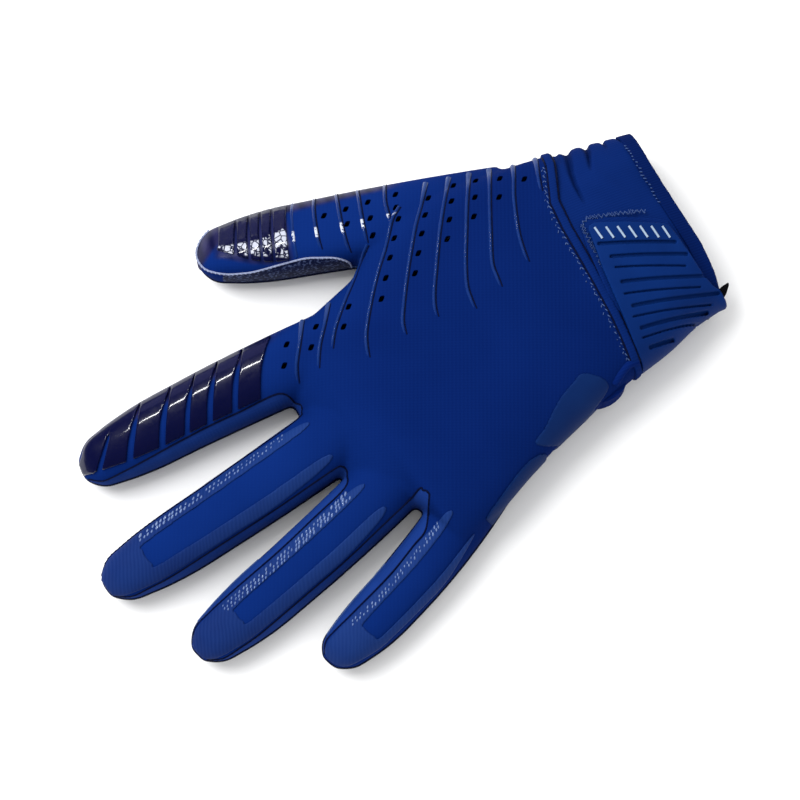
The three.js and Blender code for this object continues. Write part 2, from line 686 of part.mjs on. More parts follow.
const box = new THREE.Box3().setFromObject(glove);
glove.position.set(-(box.min.x + box.max.x) / 2, -(box.min.y + box.max.y) / 2, -box.min.z);

export default glove;
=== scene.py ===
# %% [markdown]
# # A football glove, sewn and moulded in Blender
# The glove lies on its palm with the back of the hand up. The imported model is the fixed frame: it says
# where every piece is. This lesson makes the soft, sewn and moulded surfaces that stand for its pieces.
# Shapes are worked out in millimetres with the middle of the wrist seam as the zero point, +Y towards
# the middle fingertip and +X towards the thumb, and each finished mesh is moved into the frame.

# %% The frame and the working units
import functools
import math
import random

import bmesh
import bpy
import numpy as np
from mathutils import Matrix, Vector
from mathutils.bvhtree import BVHTree


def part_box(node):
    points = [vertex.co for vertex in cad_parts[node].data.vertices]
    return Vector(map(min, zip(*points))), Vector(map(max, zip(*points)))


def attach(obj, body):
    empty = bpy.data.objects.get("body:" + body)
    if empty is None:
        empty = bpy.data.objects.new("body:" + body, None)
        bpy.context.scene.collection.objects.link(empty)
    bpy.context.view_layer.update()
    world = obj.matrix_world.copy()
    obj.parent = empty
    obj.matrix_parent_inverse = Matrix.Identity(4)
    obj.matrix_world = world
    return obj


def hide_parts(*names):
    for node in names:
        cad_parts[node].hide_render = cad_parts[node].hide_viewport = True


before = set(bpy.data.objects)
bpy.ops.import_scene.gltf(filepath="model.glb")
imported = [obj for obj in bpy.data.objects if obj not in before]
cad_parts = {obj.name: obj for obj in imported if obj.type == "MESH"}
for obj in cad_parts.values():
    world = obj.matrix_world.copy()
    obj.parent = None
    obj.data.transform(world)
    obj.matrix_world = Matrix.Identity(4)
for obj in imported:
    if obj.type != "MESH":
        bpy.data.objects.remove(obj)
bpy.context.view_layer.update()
MM = 0.001
FIRST_BAR_START = (4.2, -1.0)  # where the first bar of the strap starts, from the wrist's middle
bar_low, bar_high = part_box("strap_bar_1")
WRIST = Vector((bar_low.x / MM - FIRST_BAR_START[0],
                (bar_low.y + bar_high.y) / 2 / MM - FIRST_BAR_START[1], 0))
print("wrist middle in the frame, mm:", [round(c, 2) for c in WRIST])

# %% [markdown]
# ## The sizes of the hand
# A pattern maker works from a few measured sections. Each table has a row for each section, from the
# wrist to the fingertips, and everything below is cut from the one form that these sections give.

# %% Sections of the hand, the fingers and the cuff
PALM = np.array([  # y, left edge, right edge, height of the back
    (-16, -35, 36, 28), (4, -35.5, 41.7, 29), (30, -38.5, 48.5, 28.5), (46, -41.5, 49, 27.5),
    (60, -45, 45, 26.5), (70, -48, 39.6, 25.5), (88.4, -52, 36.6, 23.4), (92.4, -31.5, 37, 22),
    (96.6, -31, 37, 20.4), (100.6, -30.6, 37, 17.8), (104, -30.2, 36.6, 14.4), (106.9, -29, 35, 9)])
FINGERS = {
    "index": {"root": (24, 78), "tip": (35.3, 174.4), "wide": 22, "tall": 17.5, "bow": 1.5},
    "middle": {"root": (2, 82), "tip": (-0.4, 187.8), "wide": 21.5, "tall": 17, "bow": -1.1},
    "ring": {"root": (-17.6, 78), "tip": (-33.4, 175), "wide": 20.6, "tall": 16.5, "bow": -1.4},
    "pinky": {"root": (-35.4, 66.3), "tip": (-58.3, 142.2), "wide": 18.6, "tall": 15.5, "bow": -2.9},
    "thumb": {"root": (34.4, 14), "tip": (74.4, 106.8), "wide": 24.2, "tall": 18.4, "bow": 0.9},
}
FINGER_SHAPE = np.array([  # share of the length, then of the width, height and underside
    (0, 1.06, 1.2, 0), (0.3, 1.05, 1.08, 0), (0.6, 1, 1, 0), (0.8, 0.93, 0.94, 0),
    (0.89, 0.81, 0.88, 0.02), (0.96, 0.63, 0.78, 0.14), (1, 0.3, 0.56, 0.36)])
CUFF = np.array([  # distance behind the wrist, sideways shift, half width, height
    (-9, 1.1, 37.2, 29.6), (8, 3, 34.8, 28), (20, 4.6, 32, 25), (28, 5.1, 30.8, 22.5)])
ROUNDNESS = {"palm": 2.6, "finger": 2.3, "thumb": 2.7, "cuff": 2.2}  # 2 is an oval, more is squarer
FLAT_SINK = 1.6  # how much of the underside is pressed flat by its rest
THUMB_ROLL = 0.16  # how much higher the thumb's inner side lies than its middle
CUFF_TURN = math.radians(-9.5)
CUFF_LENGTH = 34
WRIST_LINE = [(-34, 11.4), (-19, 9.2), (12, 6.2), (22, 4.4), (34, -2.4), (50, -8)]
OPENING_LINE = [(-45, -23.8), (-30, -25.2), (-23, -26.9), (-13, -28.2), (-1, -28.5), (8.5, -29),
                (18, -30), (45, -35)]
WALL = 1.5  # thickness of the cloth
FAR = 300
print("fingers:", ", ".join(FINGERS))

# %% [markdown]
# ## Small tools
# Blender's Boolean, Remesh and Smooth modifiers do the cutting and rounding that scissors, glue and
# moulds do on the real glove. The helper below runs one modifier and gives back the finished mesh, so
# each later step is a single line.

# %% One modifier at a time
def modified(mesh, kind, **settings):
    """The mesh as it is after one modifier."""
    work = bpy.data.objects.new("work", mesh)
    bpy.context.scene.collection.objects.link(work)
    modifier = work.modifiers.new("step", kind)
    for name, value in settings.items():
        setattr(modifier, name, value)
    graph = bpy.context.evaluated_depsgraph_get()
    result = bpy.data.meshes.new_from_object(work.evaluated_get(graph))
    bpy.data.objects.remove(work)
    return result


def cut(mesh, tool, operation="INTERSECT"):
    """Intersects two closed meshes, takes the second from the first, or joins them."""
    knife = bpy.data.objects.new("knife", tool)
    bpy.context.scene.collection.objects.link(knife)
    knife.hide_render = True
    result = modified(mesh, "BOOLEAN", object=knife, operation=operation, solver="MANIFOLD")
    bpy.data.objects.remove(knife)
    return result


def rounded(mesh, voxel, passes):
    """The same body with soft edges: rebuilt in even small faces and then smoothed."""
    rebuilt = modified(mesh, "REMESH", mode="VOXEL", voxel_size=voxel)
    return modified(rebuilt, "SMOOTH", factor=0.5, iterations=passes)


def to_mesh(bm):
    """A mesh from a bmesh, which is then freed."""
    mesh = bpy.data.meshes.new("form")
    bm.to_mesh(mesh)
    bm.free()
    return mesh


def joined(*meshes):
    """One mesh that holds several bodies."""
    bm = bmesh.new()
    for mesh in meshes:
        bm.from_mesh(mesh)
    return to_mesh(bm)


def turned_out(mesh):
    """The same skin facing the other way."""
    bm = bmesh.new()
    bm.from_mesh(mesh)
    bmesh.ops.reverse_faces(bm, faces=bm.faces)
    return to_mesh(bm)


def main_body(mesh):
    """The mesh without the crumbs that a cut along a curved edge leaves."""
    bm = bmesh.new()
    bm.from_mesh(mesh)
    bm.verts.ensure_lookup_table()
    left = set(bm.verts)
    islands = []
    while left:
        reached = {left.pop()}
        front = list(reached)
        while front:
            near = {e.other_vert(v) for v in front for e in v.link_edges} & left
            left -= near
            reached |= near
            front = list(near)
        islands.append(reached)
    islands.sort(key=len)
    crumbs = [v for island in islands[:-1] for v in island]
    bmesh.ops.delete(bm, geom=crumbs, context="VERTS")
    return to_mesh(bm)


# %% Even rows between the sections of a table
def smooth_rows(table):
    """A function that gives rows on smooth curves through a table, ordered by its first column."""
    xs = table[:, 0]
    slopes = np.gradient(table, xs, axis=0)

    @functools.lru_cache(maxsize=None)
    def row_at(at):
        k = int(np.clip(np.searchsorted(xs, at) - 1, 0, len(xs) - 2))
        span = xs[k + 1] - xs[k]
        t = float(np.clip((at - xs[k]) / span, 0, 1))
        near = (1 + 2 * t) * (1 - t) ** 2 * table[k] + t * (1 - t) ** 2 * span * slopes[k]
        far = t * t * (3 - 2 * t) * table[k + 1] - t * t * (1 - t) * span * slopes[k + 1]
        return tuple(float(value) for value in near + far)

    return row_at


finger_row = smooth_rows(FINGER_SHAPE)
cuff_row = smooth_rows(CUFF)
print("half a finger's way along, shares:", [round(share, 2) for share in finger_row(0.5)])


@functools.lru_cache(maxsize=None)
def palm_row(at):
    """A row on straight lines between the rows of the palm's table."""
    return tuple(float(np.interp(at, PALM[:, 0], column)) for column in PALM.T)


# %% Smooth lines and even steps along them
def curve_through(points, steps=6, closed=False):
    """A smooth line through given points."""
    pts = [Vector(p) for p in points]
    count = len(pts)
    line = []
    for i in range(count if closed else count - 1):
        a, b = pts[i], pts[(i + 1) % count]
        before = pts[i - 1] if closed or i > 0 else a
        after = pts[(i + 2) % count] if closed or i + 2 < count else b
        for k in range(steps):
            t = k / steps
            line.append(0.5 * (2 * a + (b - before) * t + (2 * before - 5 * a + 4 * b - after) * t ** 2
                               + (3 * a - before - 3 * b + after) * t ** 3))
    if not closed:
        line.append(pts[-1])
    return line


def evenly(points, step):
    """Points every step millimetres along a line."""
    points = [Vector(p) for p in points]
    lengths = [0.0]
    for a, b in zip(points, points[1:]):
        lengths.append(lengths[-1] + (b - a).length)
    spots = np.arange(0, lengths[-1], step)
    table = np.array([tuple(p) for p in points])
    return [Vector([np.interp(s, lengths, column) for column in table.T]) for s in spots]


# %% [markdown]
# ## The form of the hand
# A hand form is the mould that a glove is shaped on. Each finger, the palm and the wrist is a plain tube,
# spun from a straight line, whose points are then pressed into rounded ovals. A voxel remesh melts the
# tubes into one skin, as dipping a mould would, and a few smoothing passes take out the steps.

# %% A tube that is pressed to its sections
def tube(stations, around):
    """A closed unit tube along Z with a ring of points at each station."""
    bm = bmesh.new()
    line = [bm.verts.new((1, 0, s)) for s in stations]
    edges = [bm.edges.new(pair) for pair in zip(line, line[1:])]
    bmesh.ops.spin(bm, geom=line + edges, cent=(0, 0, 0), axis=(0, 0, 1), dvec=(0, 0, 0),
                   angle=2 * math.pi, steps=around, use_merge=True)
    bmesh.ops.holes_fill(bm, edges=[e for e in bm.edges if e.is_boundary], sides=0)
    return bm


def pressed(bm, section):
    """Moves each point of a unit tube to its place on a section, and gives the mesh."""
    for v in bm.verts:
        v.co = section(v.co.z, math.atan2(v.co.y, v.co.x))
    bmesh.ops.recalc_face_normals(bm, faces=bm.faces)
    return to_mesh(bm)


def oval(angle, half, low, high, power):
    """Across and up on a rounded oval, whose underside is then pressed flat."""
    u, v = math.cos(angle), math.sin(angle)
    across = half * math.copysign(abs(u) ** (2 / power), u)
    up = (high + low) / 2 + (high - low) / 2 * math.copysign(abs(v) ** (2 / power), v)
    return across, up


# %% Fingers, palm and wrist
def finger_at(name, along):
    """Middle of a finger in plan, its direction towards the thumb, and its half width."""
    finger = FINGERS[name]
    root, tip = Vector(finger["root"]), Vector(finger["tip"])
    ahead = tip - root
    across = Vector((ahead.y, -ahead.x)).normalized()
    middle = root + ahead * along + across * finger["bow"] * 4 * along * (1 - along)
    half = finger["wide"] / 2 * finger_row(along)[1]
    return middle, across, half


def finger_form(name):
    """The tube of one finger, flat below and closed in at its tip."""
    tall = FINGERS[name]["tall"]
    roll = THUMB_ROLL if name == "thumb" else 0
    power = ROUNDNESS.get(name, ROUNDNESS["finger"])

    def section(along, angle):
        middle, across, half = finger_at(name, along)
        _, _, top, bottom = finger_row(along)
        sink = float(np.interp(along, (0.8, 0.89), (FLAT_SINK, 0)))
        floor = max(0.0, bottom) * tall
        aside, up = oval(angle, half, floor - sink, top * tall, power)
        spot = middle + across * aside
        up *= 1 - roll * aside / half
        return Vector((spot.x, spot.y, max(floor, up)))

    return pressed(tube(np.linspace(0, 1, 70), 56), section)


def palm_form():
    """The tube of the palm, from behind the wrist to the webs."""
    def section(y, angle):
        _, left, right, top = palm_row(y)
        aside, up = oval(angle, (right - left) / 2, -FLAT_SINK, top, ROUNDNESS["palm"])
        return Vector(((left + right) / 2 + aside, y, max(0, up)))

    return pressed(tube(np.linspace(PALM[0, 0], PALM[-1, 0], 90), 96), section)


def cuff_place(back, angle, grow=0.0):
    """A point on the cuff, which may stand off from its plain surface."""
    _, shift, half, top = cuff_row(back)
    aside, up = oval(angle, half + grow, -FLAT_SINK - grow, top + grow, ROUNDNESS["cuff"])
    x = (shift + aside) * math.cos(CUFF_TURN) + back * math.sin(CUFF_TURN)
    y = (shift + aside) * math.sin(CUFF_TURN) - back * math.cos(CUFF_TURN)
    return Vector((x, y, max(0, -grow, up)))


def cuff_form(grow=0.0, reach=0.0):
    stations = np.linspace(CUFF[0, 0], CUFF_LENGTH + reach, 90)
    return pressed(tube(stations, 200), lambda back, angle: cuff_place(back, angle, grow))


def numbers_of(rows, name):
    """A table with three numbers for each point of a mesh, such as its place or its normal."""
    table = np.empty(len(rows) * 3, np.float32)
    rows.foreach_get(name, table)
    return table.reshape(-1, 3)


def grown(mesh, distance):
    """The skin moved out along its normals, or in if the distance is negative, and kept off the ground."""
    result = mesh.copy()
    places = numbers_of(mesh.vertices, "co") + numbers_of(mesh.vertex_normals, "vector") * distance
    places[:, 2] = np.maximum(places[:, 2], max(0, -distance))
    result.vertices.foreach_set("co", places.ravel())
    result.update()
    return result


def paint(mesh, name, values):
    """Stores a number for each point of a mesh, for its finish to read."""
    layer_of_numbers = mesh.attributes.new(name, "FLOAT", "POINT")
    layer_of_numbers.data.foreach_set("value", np.array(values, np.float32))


SKIN_VOXEL, SKIN_PASSES = 0.85, 9
tubes = [palm_form(), cuff_form(reach=-8.0)] + [finger_form(name) for name in FINGERS]
skin = rounded(joined(*tubes), SKIN_VOXEL, SKIN_PASSES)
skin = grown(skin, 0)  # lifts what the smoothing left below the ground
print("hand form:", len(skin.polygons), "faces")

# %% [markdown]
# ## Cutting outlines
# The panels, films and grips are cut from the form by upright prisms over plan outlines, just as cloth is
# cut by a die. A seam is the same outline dropped onto the skin.

# %% Upright prisms
def prism(outline, low=-FAR, high=FAR):
    """An upright body over a plan outline."""
    bm = bmesh.new()
    face = bm.faces.new([bm.verts.new((p[0], p[1], low)) for p in outline])
    raised = bmesh.ops.extrude_face_region(bm, geom=[face])["geom"]
    upper = [v for v in raised if isinstance(v, bmesh.types.BMVert)]
    bmesh.ops.translate(bm, verts=upper, vec=(0, 0, high - low))
    bmesh.ops.recalc_face_normals(bm, faces=bm.faces)
    return to_mesh(bm)


EVERYWHERE = [(-FAR, -FAR), (FAR, -FAR), (FAR, FAR), (-FAR, FAR)]
print("an upright prism:", len(prism(EVERYWHERE).polygons), "faces")


# %% Lines across the wrist, layers and die cuts
def further_back(line, back):
    """A plan line moved towards the opening, along the cuff."""
    return [(x + back * math.sin(CUFF_TURN), y - back * math.cos(CUFF_TURN)) for x, y in line]


def wrist_side(line, back, reach):
    """Everything nearer the opening (reach 1), or nearer the fingers (-1), than a line in plan."""
    moved = further_back(line, back)
    ends = [(FAR, moved[-1][1]), (FAR, -reach * FAR), (-FAR, -reach * FAR), (-FAR, moved[0][1])]
    return prism(moved + ends)


def layer(form, low, high):
    """A closed layer that lies between two distances from a form."""
    return joined(grown(form, high), turned_out(grown(form, low)))


def die_cut(body, outline):
    """The part of a layer inside a plan outline, without crumbs."""
    return main_body(cut(body, prism(outline)))


def between_lines(body, near, far):
    """The part of a layer between two lines across the wrist, each with how far back it is moved."""
    return main_body(cut(cut(body, wrist_side(*near, 1)), wrist_side(*far, -1)))


# %% Seam lines in plan
def beside(finger, along, side, inset):
    """A plan point in from the thumb side (1) or the little-finger side (-1) of a finger."""
    middle, across, half = finger_at(finger, along)
    return middle + across * side * (half - inset)


SEAM_INSETS = {"index": (0, 3), "middle": (1.2, 1.6), "ring": (3.4, 1.5), "pinky": (4.2, 0),
               "thumb": (0, 3.2)}  # of a finger's seams: on the thumb side, on the other side
SEAM_TAPER = ((0.72, 0.97), (1, 0.2))  # seams close in on the edge towards the fingertips
SEAM_STATIONS = (0.45, 0.6, 0.8, 0.89, 0.95)
SEAM_END = 0.99
GUSSET_LINE = ((63.8, 102.8), (59.8, 96.4), (57.6, 91.6), (56, 87.4), (54.4, 83), (52.6, 78.4),
               (50.4, 74.6), (48.2, 71), (46, 68.2), (44.6, 66.6))
GUSSET_CORNERS = ((40, 70), (40, 92), (54, 110), (62, 106))  # round the side of the thumb
WEBS = (  # finger and where its seam starts, the next finger, lowest point
    ("index", 0.32, "middle", 0.26, (14.4, 105.4)), ("middle", 0.26, "ring", 0.31, (-11.2, 105)),
    ("ring", 0.17, "pinky", 0.37, (-33, 88.8)))
WEB_HALF, WEB_RISE = 1.6, 0.8
SIDE_SEAM_HEIGHT = 6


def at_seam(finger, along, side, gap=0.0):
    """A plan point on the seam of a finger, or inwards of it by a gap."""
    inset = SEAM_INSETS[finger][0 if side > 0 else 1] * float(np.interp(along, *SEAM_TAPER))
    return beside(finger, along, side, inset + gap)


def web_seam(web):
    """The seam down one finger, round the web and up the next, as a smooth plan line."""
    first, first_from, second, second_from, low = web
    down = [at_seam(first, s, -1) for s in (SEAM_END, *SEAM_STATIONS[::-1], first_from)]
    up = [at_seam(second, s, 1) for s in (second_from, *SEAM_STATIONS, SEAM_END)]
    bottom = [Vector((low[0] + WEB_HALF * k, low[1] + WEB_RISE * abs(k))) for k in (1, 0, -1)]
    return curve_through(down + bottom + up, 6)


def web_plan(web):
    """The seam closed off past the fingertips, so that the side strip lies inside."""
    return web_seam(web) + [beside(web[2], SEAM_END, 1, -8), beside(web[0], SEAM_END, -1, -8)]


print("points in each web's seam:", [len(web_seam(web)) for web in WEBS])


# %% Dropping points onto the skin
def tree_of(mesh):
    """A search tree that finds where a ray meets a mesh."""
    return BVHTree.FromPolygons([v.co.copy() for v in mesh.vertices],
                                [tuple(p.vertices) for p in mesh.polygons])


skin_tree = tree_of(skin)


def dropped_at(tree, x, y, lift=0.0):
    """The point of a surface under a plan point, lifted along the surface's normal."""
    place, normal, _, _ = tree.ray_cast(Vector((x, y, FAR)), Vector((0, 0, -1)))
    if place is None:
        place, normal, _, _ = tree.find_nearest(Vector((x, y, 8)))
    return place + normal * lift


def dropped(line, lift=0.0, tree=skin_tree):
    """A plan line as it lies on the skin, or on another surface."""
    return [dropped_at(tree, p[0], p[1], lift) for p in line]


print("height over the knuckles, mm:", round(dropped_at(skin_tree, *FINGERS["middle"]["root"]).z, 1))

# %% [markdown]
# ## Finishes
# A finish is a small sum: where on the piece a point lies, how the yarn or the mould marks it there, and
# what that does to colour, gloss and height. Sums are easier to read than node boxes, so one class
# lets a socket take part in Python arithmetic, and every expression adds its own Math nodes.

# %% Sockets that take part in arithmetic
def arithmetic(operation, swapped=False):
    def method(self, other):
        first, second = (other, self) if swapped else (self, other)
        return self.finish.node("Math", {"operation": operation}, {0: first, 1: second})
    return method


class Value:
    """A node's output that Python can add, subtract and scale."""

    def __init__(self, finish, socket):
        self.finish = finish
        self.socket = socket

    __add__, __radd__ = arithmetic("ADD"), arithmetic("ADD", True)
    __sub__, __rsub__ = arithmetic("SUBTRACT"), arithmetic("SUBTRACT", True)
    __mul__, __rmul__ = arithmetic("MULTIPLY"), arithmetic("MULTIPLY", True)

    def sine(self):
        return self.finish.node("Math", {"operation": "SINE"}, {0: self})

    def size(self):
        return self.finish.node("Math", {"operation": "ABSOLUTE"}, {0: self})

    def fit(self, start, end):
        """0 below start and 1 above end, with a soft change between them."""
        return self.finish.node("MapRange", {"interpolation_type": "SMOOTHSTEP"},
                                {"Value": self, "From Min": start, "From Max": end})


# %% Screen colours and one material
OVEREXPOSED = 0.74  # the studio light is brighter than white paper needs


def linear(red, green, blue):
    """A colour as it is picked on a screen, 0 to 255, as the linear light that shaders use."""
    def one(c):
        c /= 255
        return OVEREXPOSED * (c / 12.92 if c <= 0.04045 else ((c + 0.055) / 1.055) ** 2.4)
    return (one(red), one(green), one(blue), 1.0)


class Finish:
    """One procedural material on a Principled shader."""

    def __init__(self, name, **constants):
        self.material = bpy.data.materials.new(name)
        self.material.use_nodes = True
        self.tree = self.material.node_tree
        self.shader = self.tree.nodes["Principled BSDF"]
        for label, value in constants.items():
            self.shader.inputs[label.replace("_", " ")].default_value = value

    def node(self, kind, settings=None, sockets=None, output=0):
        """Adds a node: its settings first, then the values or links of its sockets."""
        made = self.tree.nodes.new("ShaderNode" + kind)
        for name, value in (settings or {}).items():
            setattr(made, name, value)
        for name, value in (sockets or {}).items():
            self.feed(made.inputs[name], value)
        return Value(self, made.outputs[output])

    def feed(self, socket, value):
        if isinstance(value, Value):
            self.tree.links.new(value.socket, socket)
        else:
            socket.default_value = value

    def set(self, label, value):
        self.feed(self.shader.inputs[label], value)

    def place(self):
        """Object coordinates in millimetres, from the middle of the wrist seam."""
        spot = self.node("TexCoord", output="Object")
        moved = self.node("Mapping", {"vector_type": "TEXTURE"}, {
            "Vector": spot, "Location": tuple(WRIST * MM), "Scale": (MM, MM, MM)})
        split = self.tree.nodes.new("ShaderNodeSeparateXYZ")
        self.feed(split.inputs[0], moved)
        return moved, *(Value(self, socket) for socket in split.outputs)

    def speckle(self, where, pitch, detail=2.0):
        """Noise from 0 to 1 whose lumps are about pitch millimetres across."""
        return self.node("TexNoise", None, {"Vector": where, "Scale": 1 / pitch, "Detail": detail})

    def facets(self, where, pitch):
        """Heights of small cells that each tilt their own way, like crackled gloss."""
        cells = self.tree.nodes.new("ShaderNodeTexVoronoi")
        self.feed(cells.inputs["Vector"], where)
        cells.inputs["Scale"].default_value = 1 / pitch
        centre, mood = Value(self, cells.outputs["Position"]), Value(self, cells.outputs["Color"])
        away = self.node("VectorMath", {"operation": "SUBTRACT"}, {0: where, 1: centre})
        tilt = self.node("VectorMath", {"operation": "SUBTRACT"}, {0: mood, 1: (0.5, 0.5, 0.5)})
        return self.node("VectorMath", {"operation": "DOT_PRODUCT"}, {0: away, 1: tilt}, output="Value")

    def crackle(self, where, pitch):
        """How far a point lies from the cracks between small cells, as a share of pitch."""
        return self.node("TexVoronoi", {"feature": "DISTANCE_TO_EDGE"},
                         {"Vector": where, "Scale": 1 / pitch}, output="Distance")

    def painted(self, name):
        """A number that was painted on the mesh, point by point."""
        return self.node("Attribute", {"attribute_name": name}, output="Fac")

    def mix(self, share, first, second):
        """A colour between two, by a share from 0 to 1."""
        return self.node("Mix", {"data_type": "RGBA"}, {"Factor": share, 6: first, 7: second}, output=2)

    def colour(self, share, first, second):
        """Colours the piece between two colours."""
        self.set("Base Color", self.mix(share, first, second))

    def bump(self, height, millimetres):
        """Makes heights from 0 to 1 stand out by that much."""
        self.set("Normal", self.node("Bump", None, {"Height": height, "Distance": millimetres * MM},
                                     output="Normal"))


# %% Ripples and plain finishes
def wave(distance, pitch):
    """Even ripples from 0 to 1, one each pitch millimetres."""
    return (distance * (2 * math.pi / pitch)).sine() * 0.5 + 0.5


def speckled(name, deep, light, clouds, grain, depth, uneven=0.0, **constants):
    """A plain finish: its tone drifts between two colours, its gloss may too, and it has a fine grain."""
    finish = Finish(name, **constants)
    where, *_ = finish.place()
    cloudy = finish.speckle(where, clouds)
    finish.colour(cloudy, linear(*deep), linear(*light))
    if uneven:
        finish.set("Roughness", constants["Roughness"] + cloudy * uneven)
    finish.bump(finish.speckle(where, grain), depth)
    return finish.material


# %% [markdown]
# ## The knit back
# The back is a smooth warp knit in deep royal blue. Fine ribs of the knit run askew of the hand, and
# painted light makes the cloth a little brighter over the fingers and towards the thumb side. On the
# thumb side of the index finger and the thumb a dark glossy film covers the knit: it is painted on the
# mesh as a number, because it follows the fingers and not a plane. The lighter purple-grey streaks in
# the film are partly its own tone and partly painted sheen.

# %% The finish of the knit back
KNIT_ANGLE = math.radians(-33.5)


def knit_finish():
    finish = Finish("royal_knit", Roughness=0.75, Specular_IOR_Level=0.01, Coat_Roughness=0.3)
    where, x, y, _ = finish.place()
    across = x * math.sin(KNIT_ANGLE) - y * math.cos(KNIT_ANGLE)
    along = x * math.cos(KNIT_ANGLE) + y * math.sin(KNIT_ANGLE)
    wales = wave(across, 1.2)
    courses = wave(along, 0.9)
    yarn = wales * 0.6 + courses * 0.4
    patches = finish.speckle(where, 26.0)
    film = finish.painted("film")
    # Painted light: the cloth is painted brighter towards the fingers and the thumb side.
    bright = finish.painted("bright")
    deep = finish.mix(patches, linear(4, 25, 82), linear(7, 32, 96))
    lit = finish.mix(patches, linear(7, 34, 99), linear(11, 41, 111))
    cloth = finish.mix(bright, deep, lit)
    cloth = finish.mix(yarn * 0.1, cloth, linear(16, 52, 128))
    # Partly painted sheen: the lighter streaks of the film are partly its own tone and partly its
    # purple-grey sheen.
    streaks_and_sheen = wave(x * 0.3 + y * 0.95, 4.4) * finish.speckle(where, 5.0)
    dark = finish.mix(streaks_and_sheen, linear(10, 12, 54), linear(50, 48, 94))
    finish.colour(film, cloth, dark)
    finish.set("Roughness", 0.75 - film * 0.25)
    finish.set("Coat Weight", film * 0.3)
    finish.bump(yarn * (1 - film) * 0.5 + finish.speckle(where, 1.6) * film, 0.07)
    return finish.material


# %% Side strip, thumb side and palm finishes
def strip_finish():
    """The stretch strips between the fingers: a finer knit in a brighter blue."""
    finish = Finish("bright_side_strip", Roughness=0.7, Specular_IOR_Level=0.02)
    where, _, y, z = finish.place()
    ribs = wave(z, 0.8)
    cells = wave(y, 1.1)
    tone = finish.mix(finish.speckle(where, 8.0), linear(20, 46, 110), linear(27, 58, 132))
    finish.colour(ribs * 0.15, tone, linear(22, 60, 140))
    finish.bump(ribs * 0.6 + cells * 0.4, 0.06)
    return finish.material


def gusset_finish():
    """The thumb's side panel: a coarse dark mesh with pale flecks of yarn."""
    finish = Finish("flecked_thumb_side", Roughness=0.7, Specular_IOR_Level=0.1)
    where, *_ = finish.place()
    grain = finish.speckle(where, 0.9, 3.0)
    fleck = grain.fit(0.5, 0.64)
    tone = finish.mix(finish.speckle(where, 5.0), linear(2, 12, 50), linear(8, 24, 70))
    finish.colour(fleck * 0.8, tone, linear(84, 98, 140))
    finish.bump(grain, 0.2)
    return finish.material


def palm_finish():
    """The palm: a smooth grippy synthetic with a faint leather grain."""
    finish = Finish("grippy_palm", Roughness=0.5, Specular_IOR_Level=0.3)
    where, *_ = finish.place()
    grain = finish.crackle(where, 1 / 0.9).fit(0.0, 0.12)
    tone = finish.mix(finish.speckle(where, 12.0), linear(6, 20, 62), linear(9, 27, 80))
    finish.colour(grain, linear(4, 12, 42), tone)
    finish.bump(grain, 0.08)
    return finish.material


# %% Adding a finished piece to the glove
TO_FRAME = Matrix.Scale(MM, 4) @ Matrix.Translation(WRIST)
PANEL_CREASE, CREASE, FOLD_CREASE = 38, 60, 70  # degrees between faces from which an edge is sharp


def add_piece(name, mesh, material, replaces=(), sharp=CREASE):
    """Places a mesh in the frame as a piece of the glove."""
    mesh.transform(TO_FRAME)
    mesh.materials.clear()
    mesh.materials.append(material)
    mesh.polygons.foreach_set("use_smooth", [True] * len(mesh.polygons))
    mesh.set_sharp_from_angle(angle=math.radians(sharp))
    mesh.name = name
    piece = bpy.data.objects.new(name, mesh)
    bpy.context.scene.collection.objects.link(piece)
    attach(piece, "root")
    if replaces:
        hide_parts(*replaces)
    mesh.calc_loop_triangles()
    print(f"{name}: {len(mesh.loop_triangles)} triangles")


# %% The hand's shell and its panels
shell = layer(skin, -WALL, 0)
shell = cut(shell, wrist_side(WRIST_LINE, -1.0, -1))
upper = cut(shell, prism(EVERYWHERE, SIDE_SEAM_HEIGHT, FAR))
under = cut(shell, prism(EVERYWHERE, -FAR, SIDE_SEAM_HEIGHT))

HOLE_ROWS = (  # first hole, step to the next, how many
    (26.5, 103.6, 5.4, -4.4, 2), (26.6, 93.4, 5, -5, 2), (26.2, 81.4, 4.8, -5, 2),
    (26.7, 66.8, 5, -4.9, 5), (27.4, 53.7, 5, -4.6, 5), (31, 39.1, 5.2, -4.3, 4),
    (32.5, 28, 5.6, -4.2, 3), (33.6, 17.6, 5.8, -4.3, 2), (34.4, 7.4, 0, 0, 1),
    (50.6, 45.6, 4.2, -2.6, 2), (46.7, 57, 5.4, -2.6, 3), (54.6, 61.6, 4.8, -2.6, 2),
    (61.4, 66, 3.4, -2, 1))
HOLE_SIDES = (Vector((-0.44, -0.67)), Vector((0.68, -0.89)))  # half a hole across, and half along
HOLE_SQUARENESS = 3.6
PIN_LOW, PIN_HIGH = 9, 70


def perforations():
    """A slanted pin with round corners at every hole, to be taken from the back in one cut."""
    corners = [oval(2 * math.pi * k / 20, 1, -1, 1, HOLE_SQUARENESS) for k in range(20)]
    pins = []
    for x, y, step_x, step_y, count in HOLE_ROWS:
        for i in range(count):
            middle = Vector((x + i * step_x, y + i * step_y))
            outline = [middle + HOLE_SIDES[0] * a + HOLE_SIDES[1] * b for a, b in corners]
            pins.append(prism(outline, PIN_LOW, PIN_HIGH))
    return joined(*pins)


strip_prisms = {f"{web[0]}_{web[2]}": prism(web_plan(web)) for web in WEBS}
gusset_prism = prism(curve_through(GUSSET_LINE, 5) + list(GUSSET_CORNERS))
back = upper
for knife in (*strip_prisms.values(), gusset_prism, perforations()):
    back = cut(back, knife, "DIFFERENCE")
back = main_body(back)
print("perforations:", sum(count for *_, count in HOLE_ROWS))


